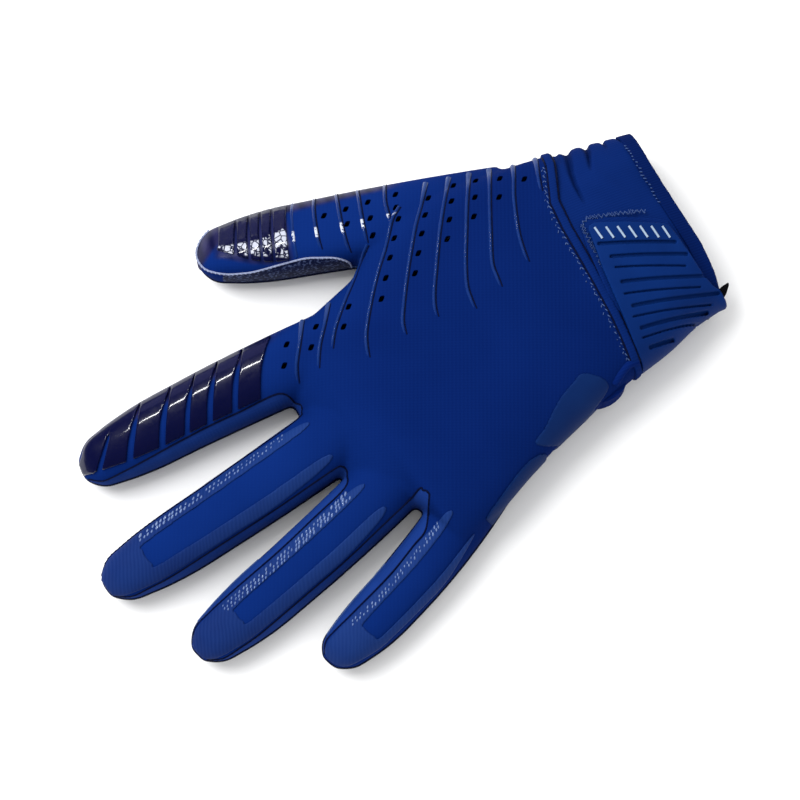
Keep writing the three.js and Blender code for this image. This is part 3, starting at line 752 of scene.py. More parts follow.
# %% Painting the film and the brighter cloth on the back
THUMB_FILM_EDGE = (  # shares of the thumb's length, and how far out the film starts there
    (0.3, 0.5, 0.65, 0.8, 0.9, 0.95, 1), (9.8, 8.8, 7.8, 6.2, 3, -1, -5))
BLOCK_INSET = {  # share of the finger's length, and how far in the blocks end there
    "index": ((0, 3.6), (1, 3.6)),
    "thumb": ((0.74, 2.6), (0.785, 3), (0.83, 4.2), (0.875, 6), (0.92, 8.2))}


def block_inset(finger, along):
    return np.interp(along, *zip(*BLOCK_INSET[finger]))


def soft_step(value, start, end):
    t = np.clip((value - start) / (end - start), 0, 1)
    return t * t * (3 - 2 * t)


def along_and_aside(places, finger):
    """For many plan points: the share of a finger's length, and the offset towards the thumb."""
    size = FINGERS[finger]
    root, tip = np.array(size["root"]), np.array(size["tip"])
    ahead = tip - root
    length = np.hypot(*ahead)
    across = np.array((ahead[1], -ahead[0])) / length
    along = (places - root) @ ahead / length ** 2
    aside = (places - root) @ across - size["bow"] * 4 * along * (1 - along)
    return along, aside


def paint_back(mesh):
    """Stores how much film covers each point, and how much painted light brightens the cloth there."""
    plan = numbers_of(mesh.vertices, "co")[:, :2].astype(float)
    index_along, index_aside = along_and_aside(plan, "index")
    thumb_along, thumb_aside = along_and_aside(plan, "thumb")
    on_index = soft_step(index_along, 0.16, 0.42) * (index_aside < 16)
    thumb_edge = np.interp(thumb_along, *THUMB_FILM_EDGE)
    on_thumb = soft_step(thumb_along, 0.3, 0.42) * (thumb_aside > -14)
    under_blocks = soft_step(thumb_along, 0.69, 0.71) * (1 - soft_step(thumb_along, 0.92, 0.95))
    block_edge = block_inset("thumb", thumb_along) - FINGERS["thumb"]["wide"] / 2
    film = on_index * soft_step(index_aside, 8.2 - 4.5 * on_index, 10.2 - 4 * on_index)
    film = np.maximum(film, on_thumb * soft_step(thumb_aside - thumb_edge, -1.2, 1))
    film = np.maximum(film, 0.75 * under_blocks * soft_step(thumb_aside - block_edge, -0.6, 0.8))
    # Painted light: brighter towards the thumb side, where the key lamp falls.
    towards_lit_side = plan[:, 0] * 0.85 + plan[:, 1] * 0.25
    paint(mesh, "film", film)
    paint(mesh, "bright", np.maximum(soft_step(plan[:, 1], 70, 125), soft_step(towards_lit_side, 34, 62)))


paint_back(back)
add_piece("knit_back", back, knit_finish(), ["back_panel"], PANEL_CREASE)
add_piece("grippy_palm", main_body(under), palm_finish(), ["palm_panel"], PANEL_CREASE)
strip = strip_finish()
for name, knife in strip_prisms.items():
    body = main_body(cut(upper, knife))
    add_piece(f"side_strip_{name}", body, strip, [f"fourchette_{name}"], PANEL_CREASE)
gusset = main_body(cut(upper, gusset_prism))
add_piece("thumb_side_panel", gusset, gusset_finish(), ["thumb_gusset"], PANEL_CREASE)

# %% [markdown]
# ## Bonded bands
# A thin film is pressed round the tips of three fingers, as a U that runs down both sides. Each is a layer
# of the form, cut by its outline and rebuilt in small faces, so that its edge is soft like one that a
# heated press leaves.

# %% Bands and their finish
BANDS = (  # finger, start, end of the bare middle, width of either arm
    ("middle", 0.26, 0.85, 4.4, 4.0), ("ring", 0.28, 0.83, 4.2, 4.0), ("pinky", 0.28, 0.82, 4.2, 2.2))
BAND_STATIONS = (0.45, 0.6, 0.8, 0.89, 0.96, 0.995)
SEAM_GAP = 0.45
OVERLAY_EDGE = 9  # overlays reach down to this height
OVERLAY_LOW = -0.3  # and this far into the cloth
FILM_HIGH = 0.45
FILM_PASSES = 3


def film_finish(name, deep, light, lines):
    """A semi-matt film that takes a faint pattern of slanted lines from the press."""
    finish = Finish(name, Roughness=0.5, Specular_IOR_Level=0.05)
    where, x, y, _ = finish.place()
    slanted = x * 0.5 + y * 0.87 + finish.speckle(where, 14.0) * 3
    ridges = wave(slanted, lines) if lines else 0
    cloudy = finish.speckle(where, 9.0)
    colour = finish.mix(cloudy * 0.5 + y.fit(172.0, 110.0) * 0.5, linear(*deep), linear(*light))
    finish.colour(ridges * 0.1, colour, linear(50, 80, 150))
    finish.set("Roughness", 0.5 + cloudy * 0.15)
    finish.bump(ridges, 0.03)
    return finish.material


def overlay(high):
    """The layer of the form that films or grips of one thickness are cut from."""
    return cut(layer(skin, OVERLAY_LOW, high), prism(EVERYWHERE, OVERLAY_EDGE, FAR))


# %% Outlines of the bands, and the three bands
def band_plan(finger, start, bare_end, thumb_arm, little_arm):
    """The outline of a U round a fingertip."""
    outer = (start,) + BAND_STATIONS
    inner = (start, 0.5, bare_end - 0.03)
    outline = [at_seam(finger, s, 1, SEAM_GAP + (2.0 if s == start else 0)) for s in outer]
    outline += [at_seam(finger, s, -1, SEAM_GAP + (1.5 if s == start else 0)) for s in outer[::-1]]
    outline += [at_seam(finger, s, -1, SEAM_GAP + little_arm) for s in inner]
    outline += [at_seam(finger, bare_end, -1, SEAM_GAP + little_arm + 1.4),
                at_seam(finger, bare_end, 1, SEAM_GAP + thumb_arm + 1.4)]
    outline += [at_seam(finger, s, 1, SEAM_GAP + thumb_arm) for s in inner[::-1]]
    return curve_through(outline, 5, closed=True)


film_layer = overlay(FILM_HIGH)
band_finish = film_finish("bonded_band", (11, 34, 92), (24, 54, 118), 1.15)
for finger, *sizes in BANDS:
    body = rounded(die_cut(film_layer, band_plan(finger, *sizes)), 0.3, FILM_PASSES)
    add_piece(f"{finger}_bonded_band", body, band_finish, [f"{finger}_band"])

# %% [markdown]
# ## Printed scales
# Small scales are printed in slanted rows down the thumb side of each band. Their pale colour is partly
# their own and partly painted sparkle. A printer's screen gives them an even pitch, and wear makes their
# sizes uneven and takes some away. Each scale here is a flattened ball on the film, and a seeded random
# number shifts it, sizes it or leaves it out.

# %% Columns of scales and their finish
SCALE_COLUMNS = {"middle": (2.2, 3.3), "ring": (1.9, 2.9, 3.8), "pinky": (2, 2.9)}  # in from the seam
SCALE_GAPS = 0.08  # share of the scales that are worn away
SCALE_RUN = (0.32, 0.86)
SCALE_PITCH, SCALE_TURN = 1.55, math.radians(38)
SCALE_SIZE = (0.74, 0.33, 0.26)
SCALE_GROWTH = {"middle": (0.6, 1.25), "ring": (1.25, 0.65), "pinky": (0.8, 0.7)}  # first and last


def scales(finger):
    """Columns of small slanted scales along the thumb side of a band, as one mesh."""
    bm = bmesh.new()
    chance = random.Random(5)
    for column, gap in enumerate(SCALE_COLUMNS[finger]):
        stations = np.linspace(*SCALE_RUN, 12)
        line = evenly([at_seam(finger, s, 1, gap).to_3d() for s in stations], SCALE_PITCH)
        for i, (a, b) in enumerate(zip(line, line[1:])):
            size = np.interp(i / len(line), (0, 1), SCALE_GROWTH[finger]) * chance.uniform(0.75, 1.25)
            if chance.random() < SCALE_GAPS:
                continue
            spot = a.lerp(b, 0.5 * (column % 2) + chance.uniform(-0.2, 0.2))
            ahead = (b - a).to_track_quat("X", "Z").to_matrix().to_4x4()
            turn = ahead @ Matrix.Rotation(SCALE_TURN, 4, "Z")
            place = dropped_at(skin_tree, spot.x, spot.y, FILM_HIGH)
            bmesh.ops.create_icosphere(bm, subdivisions=1, radius=1, matrix=Matrix.Translation(place) @ turn
                                       @ Matrix.Diagonal((*SCALE_SIZE, 1)) @ Matrix.Scale(size, 4))
    return to_mesh(bm)


# Pale scales: partly the print's own colour, partly painted sparkle.
scale_sparkle_material = speckled("printed_scale_with_painted_sparkle", (48, 80, 146), (140, 162, 206), 5, 0.8, 0.05,
                          Roughness=0.25, Coat_Weight=1, Coat_Roughness=0.1)
for finger in SCALE_COLUMNS:
    add_piece(f"{finger}_band_scales", scales(finger), scale_sparkle_material)

# %% [markdown]
# ## Patches on the edge of the hand
# Two more patches of the film guard the little-finger edge where the hand falls on it. They are cut and
# pressed like the bands, but they are clearer and have no pattern.

# %% Two clear patches
EDGE_FILMS = (
    ((-29.4, 33), (-28.6, 27.6), (-35, 22.4), (-38.4, 29.3), (-41.6, 45.4), (-38.2, 52.4), (-35.8, 47),
     (-31.6, 39.6)),
    ((-41.4, 53.6), (-43, 50.6), (-46.4, 59.9), (-51, 73.4), (-48.8, 77.6), (-46, 70.8), (-42.2, 60)))
patch_finish = film_finish("clear_edge_film", (3, 24, 76), (10, 42, 98), 0)
for i, outline in enumerate(EDGE_FILMS, 1):
    body = rounded(die_cut(film_layer, curve_through(outline, 5, closed=True)), 0.4, FILM_PASSES)
    add_piece(f"heel_film_{i}", body, patch_finish, [f"edge_film_{i}"])

# %% [markdown]
# ## Grip blocks
# Thick silicone is printed across the index finger and the thumb in near-black blocks. They are wet-look
# glossy, with a faint purple cast, and blue stripes of cloth show between them. The blocks widen to the
# thumb side until they touch. Small facets in the bump break their glints up. Where the thumb bends, a
# painted highlight of small white cells stands for the broken glint of the gloss there.

# %% Grip blocks and their finish
BLOCKS = {  # start and end of each, as shares of the finger's length
    "index": ((0.38, 0.462), (0.482, 0.552), (0.572, 0.635), (0.652, 0.722), (0.744, 0.835), (0.858, 0.94)),
    "thumb": ((0.712, 0.752), (0.762, 0.79), (0.8, 0.828), (0.838, 0.87), (0.88, 0.93))}
INDEX_TIP_BLOCK = (0.956, 1.0)
BLOCK_SLANT = {"index": 0.115, "thumb": 0.02}
BLOCK_WIDEN = {"index": 0.009, "thumb": 0.002}
BLOCK_HIGH = 0.8
FACET_TILT = 0.2
HIGHLIGHT_LOW = ((0.7, -9), (0.85, -4.9), (0.97, -1.6))  # along the thumb, and aside
HIGHLIGHT_HIGH = ((0.7, 1.6), (0.8, -0.9), (0.88, -0.5), (0.97, 0.8))


def paint_highlight_cells(mesh):
    """Stores where a painted highlight of white cells lies on the thumb's blocks."""
    along, aside = along_and_aside(numbers_of(mesh.vertices, "co")[:, :2].astype(float), "thumb")
    low, high = (np.interp(along, *zip(*edge)) for edge in (HIGHLIGHT_LOW, HIGHLIGHT_HIGH))
    paint(mesh, "painted_highlight", soft_step(aside - low, -0.4, 0.4) * soft_step(high - aside, -0.4, 0.4))


def grip_finish():
    finish = Finish("wet_look_silicone", Roughness=0.35, Specular_IOR_Level=0.1, Coat_Weight=0.7,
                    Coat_Roughness=0.09)
    where, x, *_ = finish.place()
    cloudy = finish.speckle(where, 7.0)
    highlight_cells = finish.crackle(where, 1.9).fit(0.04, 0.13) * finish.speckle(where, 3.2).fit(0.42, 0.48)
    gloss = finish.mix(cloudy, linear(2, 7, 50), linear(8, 10, 52))
    # Painted highlight: white cells on the thumb's blocks stand for the glint of the gloss.
    finish.colour(highlight_cells * finish.painted("painted_highlight"), gloss, linear(192, 196, 210))
    wrinkled = x.fit(46.0, 52.0)
    ripple = finish.speckle(where, 2.6, 1.0) * 0.09
    finish.bump(ripple + finish.facets(where, 1.9) * (wrinkled + 0.3) * FACET_TILT, 1.0)
    return finish.material


# %% Outlines of the blocks, and the blocks
def block_plan(finger, start, end):
    """The outline of a block that slants across a finger and widens towards the thumb side."""
    slant, widen = BLOCK_SLANT[finger], BLOCK_WIDEN[finger]

    def edge(along, widened):
        middle, across, _ = finger_at(finger, along - slant * 0.42)
        return [beside(finger, along, -1, block_inset(finger, along)), middle + across,
                beside(finger, along - slant + widened, 1, 1.4)]

    return curve_through(edge(start, -widen), 5) + curve_through(edge(end, widen)[::-1], 5)


def tip_plan():
    """The last block, which runs round the tip of the index finger to the seam."""
    start = block_plan("index", *INDEX_TIP_BLOCK)
    ring = [beside("index", s, side, 1.5) for s, side in ((0.9, 1), (0.95, 1), (1.0, 1), (1.0, -1))]
    return start[:11] + ring + [beside("index", 0.97, -1, 2.6)]


grip_layer = overlay(BLOCK_HIGH)
silicone = grip_finish()
for finger, blocks in BLOCKS.items():
    for i, ends in enumerate(blocks, 1):
        body = die_cut(grip_layer, block_plan(finger, *ends))
        if finger == "index" and i == len(blocks):
            body = joined(body, die_cut(grip_layer, tip_plan()))
        block = rounded(body, 0.28, FILM_PASSES)
        if finger == "thumb":
            paint_highlight_cells(block)
        add_piece(f"{finger}_silicone_{i}", block, silicone, [f"{finger}_grip_{i}"])

# %% [markdown]
# ## Ribs of the saddle
# Thin silicone ribs fan out over the root of the thumb. Each starts as a broad lick of silicone at the
# thumb's edge and thins to a line that ends on the back of the hand. A curve with a round bevel, dropped
# onto the skin and given a radius at each point, makes exactly that. The cloth sinks beside each rib, and
# a thin dark strand laid there is painted shade for that ditch. Flecks of light on the ribs of the thumb
# are painted highlights, like the white cells on the thumb's blocks above.

# %% Round strands
def strand(points, radius, shares=None, sides=1):
    """A round strand through points, whose radius may change by shares along it."""
    curve = bpy.data.curves.new("strand", "CURVE")
    curve.dimensions = "3D"
    curve.bevel_depth = radius
    curve.bevel_resolution = sides
    curve.use_fill_caps = True
    spline = curve.splines.new("POLY")
    spline.points.add(len(points) - 1)
    for i, p in enumerate(points):
        spline.points[i].co = (p.x, p.y, p.z, 1)
        spline.points[i].radius = shares[i] if shares else 1.0
    work = bpy.data.objects.new("strand", curve)
    mesh = bpy.data.meshes.new_from_object(work)
    bpy.data.objects.remove(work)
    return mesh


# %% Where the ribs run, and their finish
RIBS = (  # from the thumb's edge inwards, in plan
    ((39.6, -0.6), (33, 3.2), (27, 6.2)),
    ((42.6, 6), (36.4, 10.2), (30.7, 14.1), (22, 18.8), (16.3, 21.1), (9.6, 23)),
    ((45.4, 13.2), (35.2, 20.3), (25.7, 26.5), (16.5, 32.1), (11.3, 33.6), (7.6, 34.6)),
    ((47.8, 19.4), (38.2, 26.9), (29, 33.5), (21.3, 38.9), (14.5, 42.9), (9.9, 44.3), (6.2, 45.1)),
    ((50.2, 25.6), (41.6, 33.6), (34, 40.3), (24.5, 47.9), (19.3, 52), (14.9, 54.8), (10.9, 56.4)),
    ((52.8, 32.7), (47.1, 38.3), (41, 44.7), (33.8, 51.4), (27.7, 56.8), (20.6, 62.7), (16.4, 65.8),
     (12.1, 67.6)),
    ((50.4, 44.5), (48.1, 48.7), (44.2, 52.8), (40.2, 56.9), (35.6, 62.3), (29.9, 68.3), (23.5, 74.3),
     (18.8, 78), (12.7, 81.1)),
    ((45.4, 60), (42.8, 64.5), (39, 69.2), (34.8, 74.9), (31.2, 79.6), (27.1, 84.4), (22, 88.9)),
    ((36.4, 80.6), (31, 85.6), (25.6, 91), (19.6, 95.6)),
    ((36.4, 90.6), (30.6, 95.2), (24.6, 100.4), (19.4, 103.4)),
    ((61.2, 43.1), (54.9, 47.1), (49.5, 49.3), (46.5, 50.8)),
    ((64, 51.8), (54.6, 56.3), (49.1, 58.7), (45.6, 60.2)),
    ((67.2, 58), (57.2, 62.6), (50.2, 65.2), (46.2, 66.2)),
    ((70, 64.6), (65.6, 67.4), (60.6, 70), (55.3, 72.3), (51.4, 73.6)))
LAST_THUMB_LINE = ((72, 71.4), (68.4, 74), (63.6, 76.7), (58, 79.4), (54.4, 80.9))
THIN_RIBS = (7, 8, 11, 12, 13, 14)  # these have no broad lick
LICK_LENGTH = 8
THUMB_WAY = (0.396, 0.918)  # the thumb's direction in plan
RIB_RADIUS, RIB_SINK, RIB_STEP = 0.56, 0.26, 0.8
DITCH_RADIUS, DITCH_SINK, DITCH_ASIDE = 0.26, 0.06, 0.72


def rib_finish():
    finish = Finish("raised_rib", Roughness=0.4, Specular_IOR_Level=0.05, Coat_Roughness=0.1)
    where, x, y, _ = finish.place()
    lick = finish.painted("lick")
    worn = finish.speckle(where, 4.0)
    thin = finish.mix(worn, linear(12, 40, 102), linear(20, 50, 114))
    colour = finish.mix(lick, thin, linear(50, 70, 122))
    (x0, y0), (ahead, sideways) = FINGERS["thumb"]["root"], THUMB_WAY
    aside = (x - x0) * sideways - (y - y0) * ahead
    # Painted highlight: pale flecks on the crests of the thumb's ribs stand for glints.
    on_crest = (aside + 1.2).size().fit(2.0, 1.4) * x.fit(48.6, 49.4)
    painted_glint = on_crest * finish.speckle(where, 0.9).fit(0.4, 0.48)
    finish.colour(painted_glint, colour, linear(205, 212, 226))
    finish.set("Coat Weight", x.fit(47.0, 53.0) * 0.5 + 0.15)
    finish.bump(finish.speckle(where, 1.2), 0.15)
    return finish.material


# %% The ribs and the ditches beside them
def moved_aside(line, offset):
    """A plan line beside another, towards the opening of the glove for a positive offset."""
    moved = []
    for i, p in enumerate(line):
        ahead = line[min(i + 1, len(line) - 1)] - line[max(i - 1, 0)]
        aside = Vector((ahead.y, -ahead.x)).normalized()
        moved.append(p + aside * (offset if aside.y < 0 else -offset))
    return moved


rib_material = rib_finish()
rib_shade_lines = []
for i, rib in enumerate(RIBS, 1):
    line = evenly(curve_through(rib, 8), RIB_STEP)
    gone = [RIB_STEP * k for k in range(len(line))]
    lick = [0 if i in THIN_RIBS else max(0, 1 - d / LICK_LENGTH) for d in gone]
    widths = [(1 + 0.8 * share) * min(1, 0.35 + (gone[-1] - d) / 5) for share, d in zip(lick, gone)]
    body = strand(dropped(line, -RIB_SINK), RIB_RADIUS, widths, sides=3)
    if i == len(RIBS):
        last = dropped(evenly(LAST_THUMB_LINE, RIB_STEP), -RIB_SINK)
        body = joined(body, strand(last, RIB_RADIUS, sides=3))
    distances = [FAR if i in THIN_RIBS else (v.co.xy - line[0]).length for v in body.vertices]
    paint(body, "lick", [max(0, 1 - distance / LICK_LENGTH) for distance in distances])
    add_piece(f"silicone_rib_{i}", body, rib_material, [f"saddle_rib_{i}"])
    # Painted shade: a thin dark strand beside each rib stands for the shade in the ditch there.
    rib_shade_lines.append(strand(dropped(moved_aside(line, DITCH_ASIDE), -DITCH_SINK), DITCH_RADIUS))

# %% [markdown]
# ## The cuff
# The elastic cuff is the same kind of tube as the hand form, with a ring of points every third of a
# millimetre. Elastic sewn inside its thumb side draws it into sharp valleys with round lobes between
# them, and two of the valleys run on across the top as long creases.

# %% Creases and lobes
CREASES = (  # distance behind the wrist and offset, along each; and the depth
    (((1.2, 38), (0.8, 30)), 0.5),
    (((5.2, 37.4), (3.4, 32), (1.5, 26.4), (0.7, 21.8), (0.6, 17.4), (0.9, 14)), 1.5),
    (((11.8, 37), (10.2, 30.5), (8.8, 27.2), (7.6, 23.6)), 1.6),
    (((17, 35.6), (16.6, 28)), 1.2), (((22.3, 34.4), (22.1, 28)), 1.1))
CREASE_WIDTHS = (1.8, 0.6)  # at the edge and at the far end
CREASE_SHADE, DARKEST_CREASE = 0.45, 0.6
CREASES_ABOVE = 9  # the height from which creases are dark
LOBE_PROUD, LOBES_FROM, LOBES_OVER = 0.8, 24, 12
HEM_HIGH = 0.75
BINDING_WIDTH = 4.8
OVERRUN = 4


def crease_depth(back, aside):
    """How far the creases pull the cloth in at a place on the cuff."""
    depth = 0.0
    here = Vector((back, aside))
    for stops, deepest in CREASES:
        points = [Vector(stop) for stop in stops]
        for i, (start, stop) in enumerate(zip(points, points[1:])):
            run = stop - start
            share = min(1, max(0, (here - start).dot(run) / run.length_squared))
            distance = (here - start - run * share).length
            gone = (i + share) / (len(points) - 1)
            width = CREASE_WIDTHS[1] + (CREASE_WIDTHS[0] - CREASE_WIDTHS[1]) * (1 - gone) ** 3
            depth = max(depth, deepest * (1 - gone ** 3) * math.exp(-(distance / width) ** 2))
    return depth


def on_cuff_plan(x, y):
    """Distance behind the wrist and offset on the cuff of a plan point."""
    back = x * math.sin(CUFF_TURN) - y * math.cos(CUFF_TURN)
    return back, x * math.cos(CUFF_TURN) + y * math.sin(CUFF_TURN) - cuff_row(back)[1]


def gathered(back, angle):
    """A point on the cuff with its lobes, its slow waves and its creases."""
    half = cuff_row(back)[2]
    aside, _ = oval(angle, half, 0, 1, ROUNDNESS["cuff"])
    lobes = LOBE_PROUD * max(0, (aside - LOBES_FROM) / LOBES_OVER)
    wave_over = 0.12 * math.sin(aside * 0.35 + back * 0.5) * math.sin(back * 0.4)
    return cuff_place(back, angle, lobes + wave_over - crease_depth(back, aside))


def hollow(outer, grow=-WALL, around=120):
    """Takes a smaller form of the cuff, such as the room for the wrist, out of a larger one."""
    stations = np.linspace(CUFF[0, 0] - OVERRUN, CUFF_LENGTH + OVERRUN, 60)
    room = pressed(tube(stations, around), lambda back, angle: cuff_place(back, angle, grow))
    return cut(outer, room, "DIFFERENCE")


def crease_shade(place):
    """How much painted shade darkens the cloth at the bottom of a crease."""
    if place.z <= CREASES_ABOVE:
        return 0
    return min(DARKEST_CREASE, CREASE_SHADE * crease_depth(*on_cuff_plan(place.x, place.y)))


# %% The cuff's finish, the cuff and its hem
def cuff_finish(name, deep, light):
    finish = Finish(name, Roughness=0.7, Specular_IOR_Level=0.01)
    where, x, y, _ = finish.place()
    ribs = wave(x * math.cos(CUFF_TURN) + y * math.sin(CUFF_TURN), 0.85)
    rows = wave(y * math.cos(CUFF_TURN) - x * math.sin(CUFF_TURN), 0.7)
    tone = finish.mix(finish.speckle(where, 14.0), linear(*deep), linear(*light))
    tone = finish.mix(ribs * 0.1, tone, linear(24, 60, 140))
    # Painted shade: the bottoms of the creases are painted dark.
    finish.colour(finish.painted("crease"), tone, linear(1, 10, 46))
    finish.bump(ribs * 0.5 + rows * 0.5, 0.03)
    return finish.material


cuff_knit = cuff_finish("cuff_knit", (6, 30, 88), (9, 36, 100))
hem_knit = cuff_finish("hem_knit", (3, 20, 70), (5, 26, 82))
stations = np.linspace(CUFF[0, 0], CUFF_LENGTH, 130)
cuff = hollow(pressed(tube(stations, 260), gathered))
cuff = between_lines(cuff, (WRIST_LINE, 0.6), (OPENING_LINE, 0.6 - BINDING_WIDTH))
# Painted shade in the creases of the cuff.
paint(cuff, "crease", [crease_shade(v.co) for v in cuff.vertices])
add_piece("gathered_cuff", cuff, cuff_knit, ["cuff"], FOLD_CREASE)
hem = between_lines(hollow(cuff_form(HEM_HIGH)), (OPENING_LINE, -BINDING_WIDTH), (OPENING_LINE, 0))
add_piece("turned_hem", rounded(hem, 0.4, 4), hem_knit, ["cuff_binding"], FOLD_CREASE)

# %% [markdown]
# ## The wrist welt
# Where hand and cuff meet, the cloth is turned in and sewn, which leaves a raised rounded welt with a
# dark ditch beside it. It is a thick layer of the form between two copies of the wrist line.

# %% Welt round the wrist
WELT_HALF, WELT_HIGH = 1.3, 0.9
welt = between_lines(layer(skin, -WALL, WELT_HIGH), (WRIST_LINE, -WELT_HALF), (WRIST_LINE, WELT_HALF))
add_piece("wrist_welt", rounded(welt, 0.4, 4), cuff_knit, ["wrist_seam"], FOLD_CREASE)

# %% [markdown]
# ## The closure
# A sewn cloth base carries a moulded tab that wraps round the little-finger side. The tab is one thick
# layer over the cuff, with slanted grooves cut in before it is rebuilt and smoothed, so that every groove
# gets the soft shoulders of a moulding. Seven pale bars stand in a row along its free end.

# %% Outlines of the closure, and the layer that it is cut from
STRAP_BASE_OUTLINE = (
    (-44, 11.6), (-28, 9.9), (-10, 7.5), (4, 4.8), (11.2, 2.4), (11.6, -0.8), (7, -9.2), (0, -20.6),
    (-2, -22.6), (-44, -24))
STRAP_OUTLINE = (
    (-44, 10.6), (-28.5, 9), (-15.8, 7), (-5.2, 5), (0.6, 3.3), (7.6, 1.6), (8.8, 0.8), (8.7, -1.4),
    (4, -9.6), (-2.6, -20.4), (-4.6, -21.7), (-9.2, -22), (-15, -22.2), (-22.5, -22.5), (-26.6, -23.6),
    (-28.8, -25), (-44, -27))
GROOVES = (  # from the hand's side to the opening's side, and the width
    ((2.3, 1.9), (-9.8, -20.5), 1.1), ((-3.2, 1), (-14.8, -21.6), 1.1), ((-6.7, 2), (-17.7, -19), 0.6),
    ((-11.7, 2.7), (-23.3, -23.3), 1.1), ((-15.3, 4), (-25.3, -19.8), 0.6),
    ((-19.7, 3.9), (-29.4, -24.6), 1.1), ((-22.6, 5.5), (-31.1, -20.9), 0.6),
    ((-26.6, 5.2), (-32.2, -18.6), 1.1), ((-29.2, 6.6), (-33.8, -16.5), 0.6),
    ((-32.6, 5.5), (-34.1, -3.6), 1.1))
GROOVE_FLOOR = 1.9
STRAP_LOW, STRAP_HIGH = 1.0, 3.1
STRAP_SIDE_HEIGHT = 9
BARS = {"count": 7, "start": (2.9, -0.35), "step": (-1.76, -3.16), "length": 4.3}


def cuff_layer(low, high):
    """The layer over the upper side of the cuff that the closure is cut from."""
    body = hollow(cuff_form(high, reach=3), low, 160)
    body = cut(body, prism(EVERYWHERE, STRAP_SIDE_HEIGHT, FAR))
    return cut(body, wrist_side(OPENING_LINE, 0.7, -1))


def ribbon(start, end, width):
    """A straight strip in plan."""
    start, end = Vector(start), Vector(end)
    across = Vector((start.y - end.y, end.x - start.x)).normalized() * width / 2
    return [start - across, end - across, end + across, start + across]


def groove_cutters():
    """The slanted strips, as deep as the grooves are."""
    strips = [prism(ribbon(start, end, width)) for start, end, width in GROOVES]
    return cut(joined(*strips), cuff_layer(GROOVE_FLOOR, STRAP_HIGH + OVERRUN))


# %% The base, the tab and the bars
base = die_cut(cuff_layer(-0.2, STRAP_LOW), STRAP_BASE_OUTLINE)
add_piece("tab_base", rounded(base, 0.45, 2), cuff_knit, ["strap_base"])
tab = cut(cuff_layer(STRAP_LOW, STRAP_HIGH), prism(STRAP_OUTLINE))
tab = main_body(cut(tab, groove_cutters(), "DIFFERENCE"))
moulded = speckled("moulded_tab", (5, 35, 94), (9, 46, 113), 11, 0.5, 0.04, uneven=0.12,
                   Roughness=0.46, Specular_IOR_Level=0.03)
add_piece("moulded_tab", rounded(tab, 0.27, 4), moulded, ["strap"])

tab_tree = tree_of(cuff_form(STRAP_HIGH))
pale = speckled("pale_bar", (150, 172, 196), (170, 190, 210), 1.5, 0.6, 0.05, Roughness=0.4,
                Specular_IOR_Level=0.2)
for i in range(BARS["count"]):
    x, y = (start + i * step for start, step in zip(BARS["start"], BARS["step"]))
    stops = dropped([(x + BARS["length"] * s, y) for s in (0, 0.33, 0.67, 1)], 0.1, tab_tree)
    add_piece(f"pale_bar_{i + 1}", strand(stops, 0.36, sides=3), pale, [f"strap_bar_{i + 1}"])

# %% [markdown]
# ## Hook corner and heel loop
# A black corner of hook tape pokes out under the tab, and a short pull loop of folded webbing is sewn
# into the little-finger side of the heel. Both are thick shapes with soft edges.

# %% Hook corner and heel loop
HOOK_OUTLINE = (
    (-33.2, -18.4), (-31.6, -24), (-29.2, -28.6), (-27.4, -30.8), (-26.6, -31), (-26.6, -28.6),
    (-27.2, -24.4))
HOOK_LOW, HOOK_HIGH = 8, 10
LOOP_FOLD = ((-36, 20.6), (-34.6, 17.4), (-33.6, 13.6), (-34.2, 10.4))
LOOP = {"x": -35.3, "y": 22.2, "outer": 3.5, "inner": 1.2, "stretch": 1.9, "low": 6.6, "high": 16}


def hook_finish():
    finish = Finish("black_hook_tape", Roughness=0.85, Specular_IOR_Level=0.1)
    _, x, y, _ = finish.place()
    hooks = wave(x + y * 0.3, 0.7) * wave(y, 0.7)
    finish.colour(hooks, linear(5, 6, 12), linear(30, 31, 38))
    finish.bump(hooks, 0.3)
    return finish.material


def loop_outline():
    """Half an oval ring, open towards the glove."""
    def arc(radius):
        return [(LOOP["x"] + radius * math.cos(a), LOOP["y"] + LOOP["stretch"] * radius * math.sin(a))
                for a in np.linspace(math.pi / 2, math.pi * 3 / 2, 17)]

    return arc(LOOP["outer"]) + arc(LOOP["inner"])[::-1]


sewn_cuff = cut(cuff_form(0.8), wrist_side(OPENING_LINE, -0.4, -1))
hook = cut(prism(HOOK_OUTLINE, HOOK_LOW, HOOK_HIGH), sewn_cuff, "DIFFERENCE")
add_piece("hook_corner", rounded(main_body(hook), 0.22, 2), hook_finish(), ["strap_hook_tip"])
loop = cut(prism(loop_outline(), LOOP["low"], LOOP["high"]), grown(skin, -0.6), "DIFFERENCE")
fold = strand(dropped(curve_through(LOOP_FOLD, 6), -0.3), 1.5, sides=3)
loop = rounded(joined(main_body(loop), fold), 0.3, 4)
webbing = cuff_finish("loop_webbing", (3, 18, 70), (7, 34, 104))
add_piece("pull_loop", loop, webbing, ["heel_loop"])

# %% [markdown]
# ## Seams and stitches
# Thread is what makes panels read as sewn. A dark cord lies in every seam of the fingers, pale stitches
# run beside the wrist welt and on the hem, and a bright cord edges the thumb. Cords are thin strands
# dropped onto the skin, and single stitches are tiny stretched balls along the same lines.

# %% Thread finishes and helpers
def thread_finish(name, dark, light):
    finish = Finish(name, Roughness=0.7, Specular_IOR_Level=0.1)
    _, x, y, z = finish.place()
    twist = wave(x + y + z, 0.5)
    finish.colour(twist, linear(*dark), linear(*light))
    finish.bump(twist, 0.05)
    return finish.material


# The navy thread also colours the dark strands that are painted shade beside the ribs and the welt.
dark_thread_and_shade = thread_finish("navy_thread_and_shade", (1, 8, 40), (3, 14, 56))
pale_thread = thread_finish("pale_blue_thread", (40, 66, 120), (84, 108, 158))
bright_thread = thread_finish("light_thread", (120, 130, 168), (168, 176, 204))


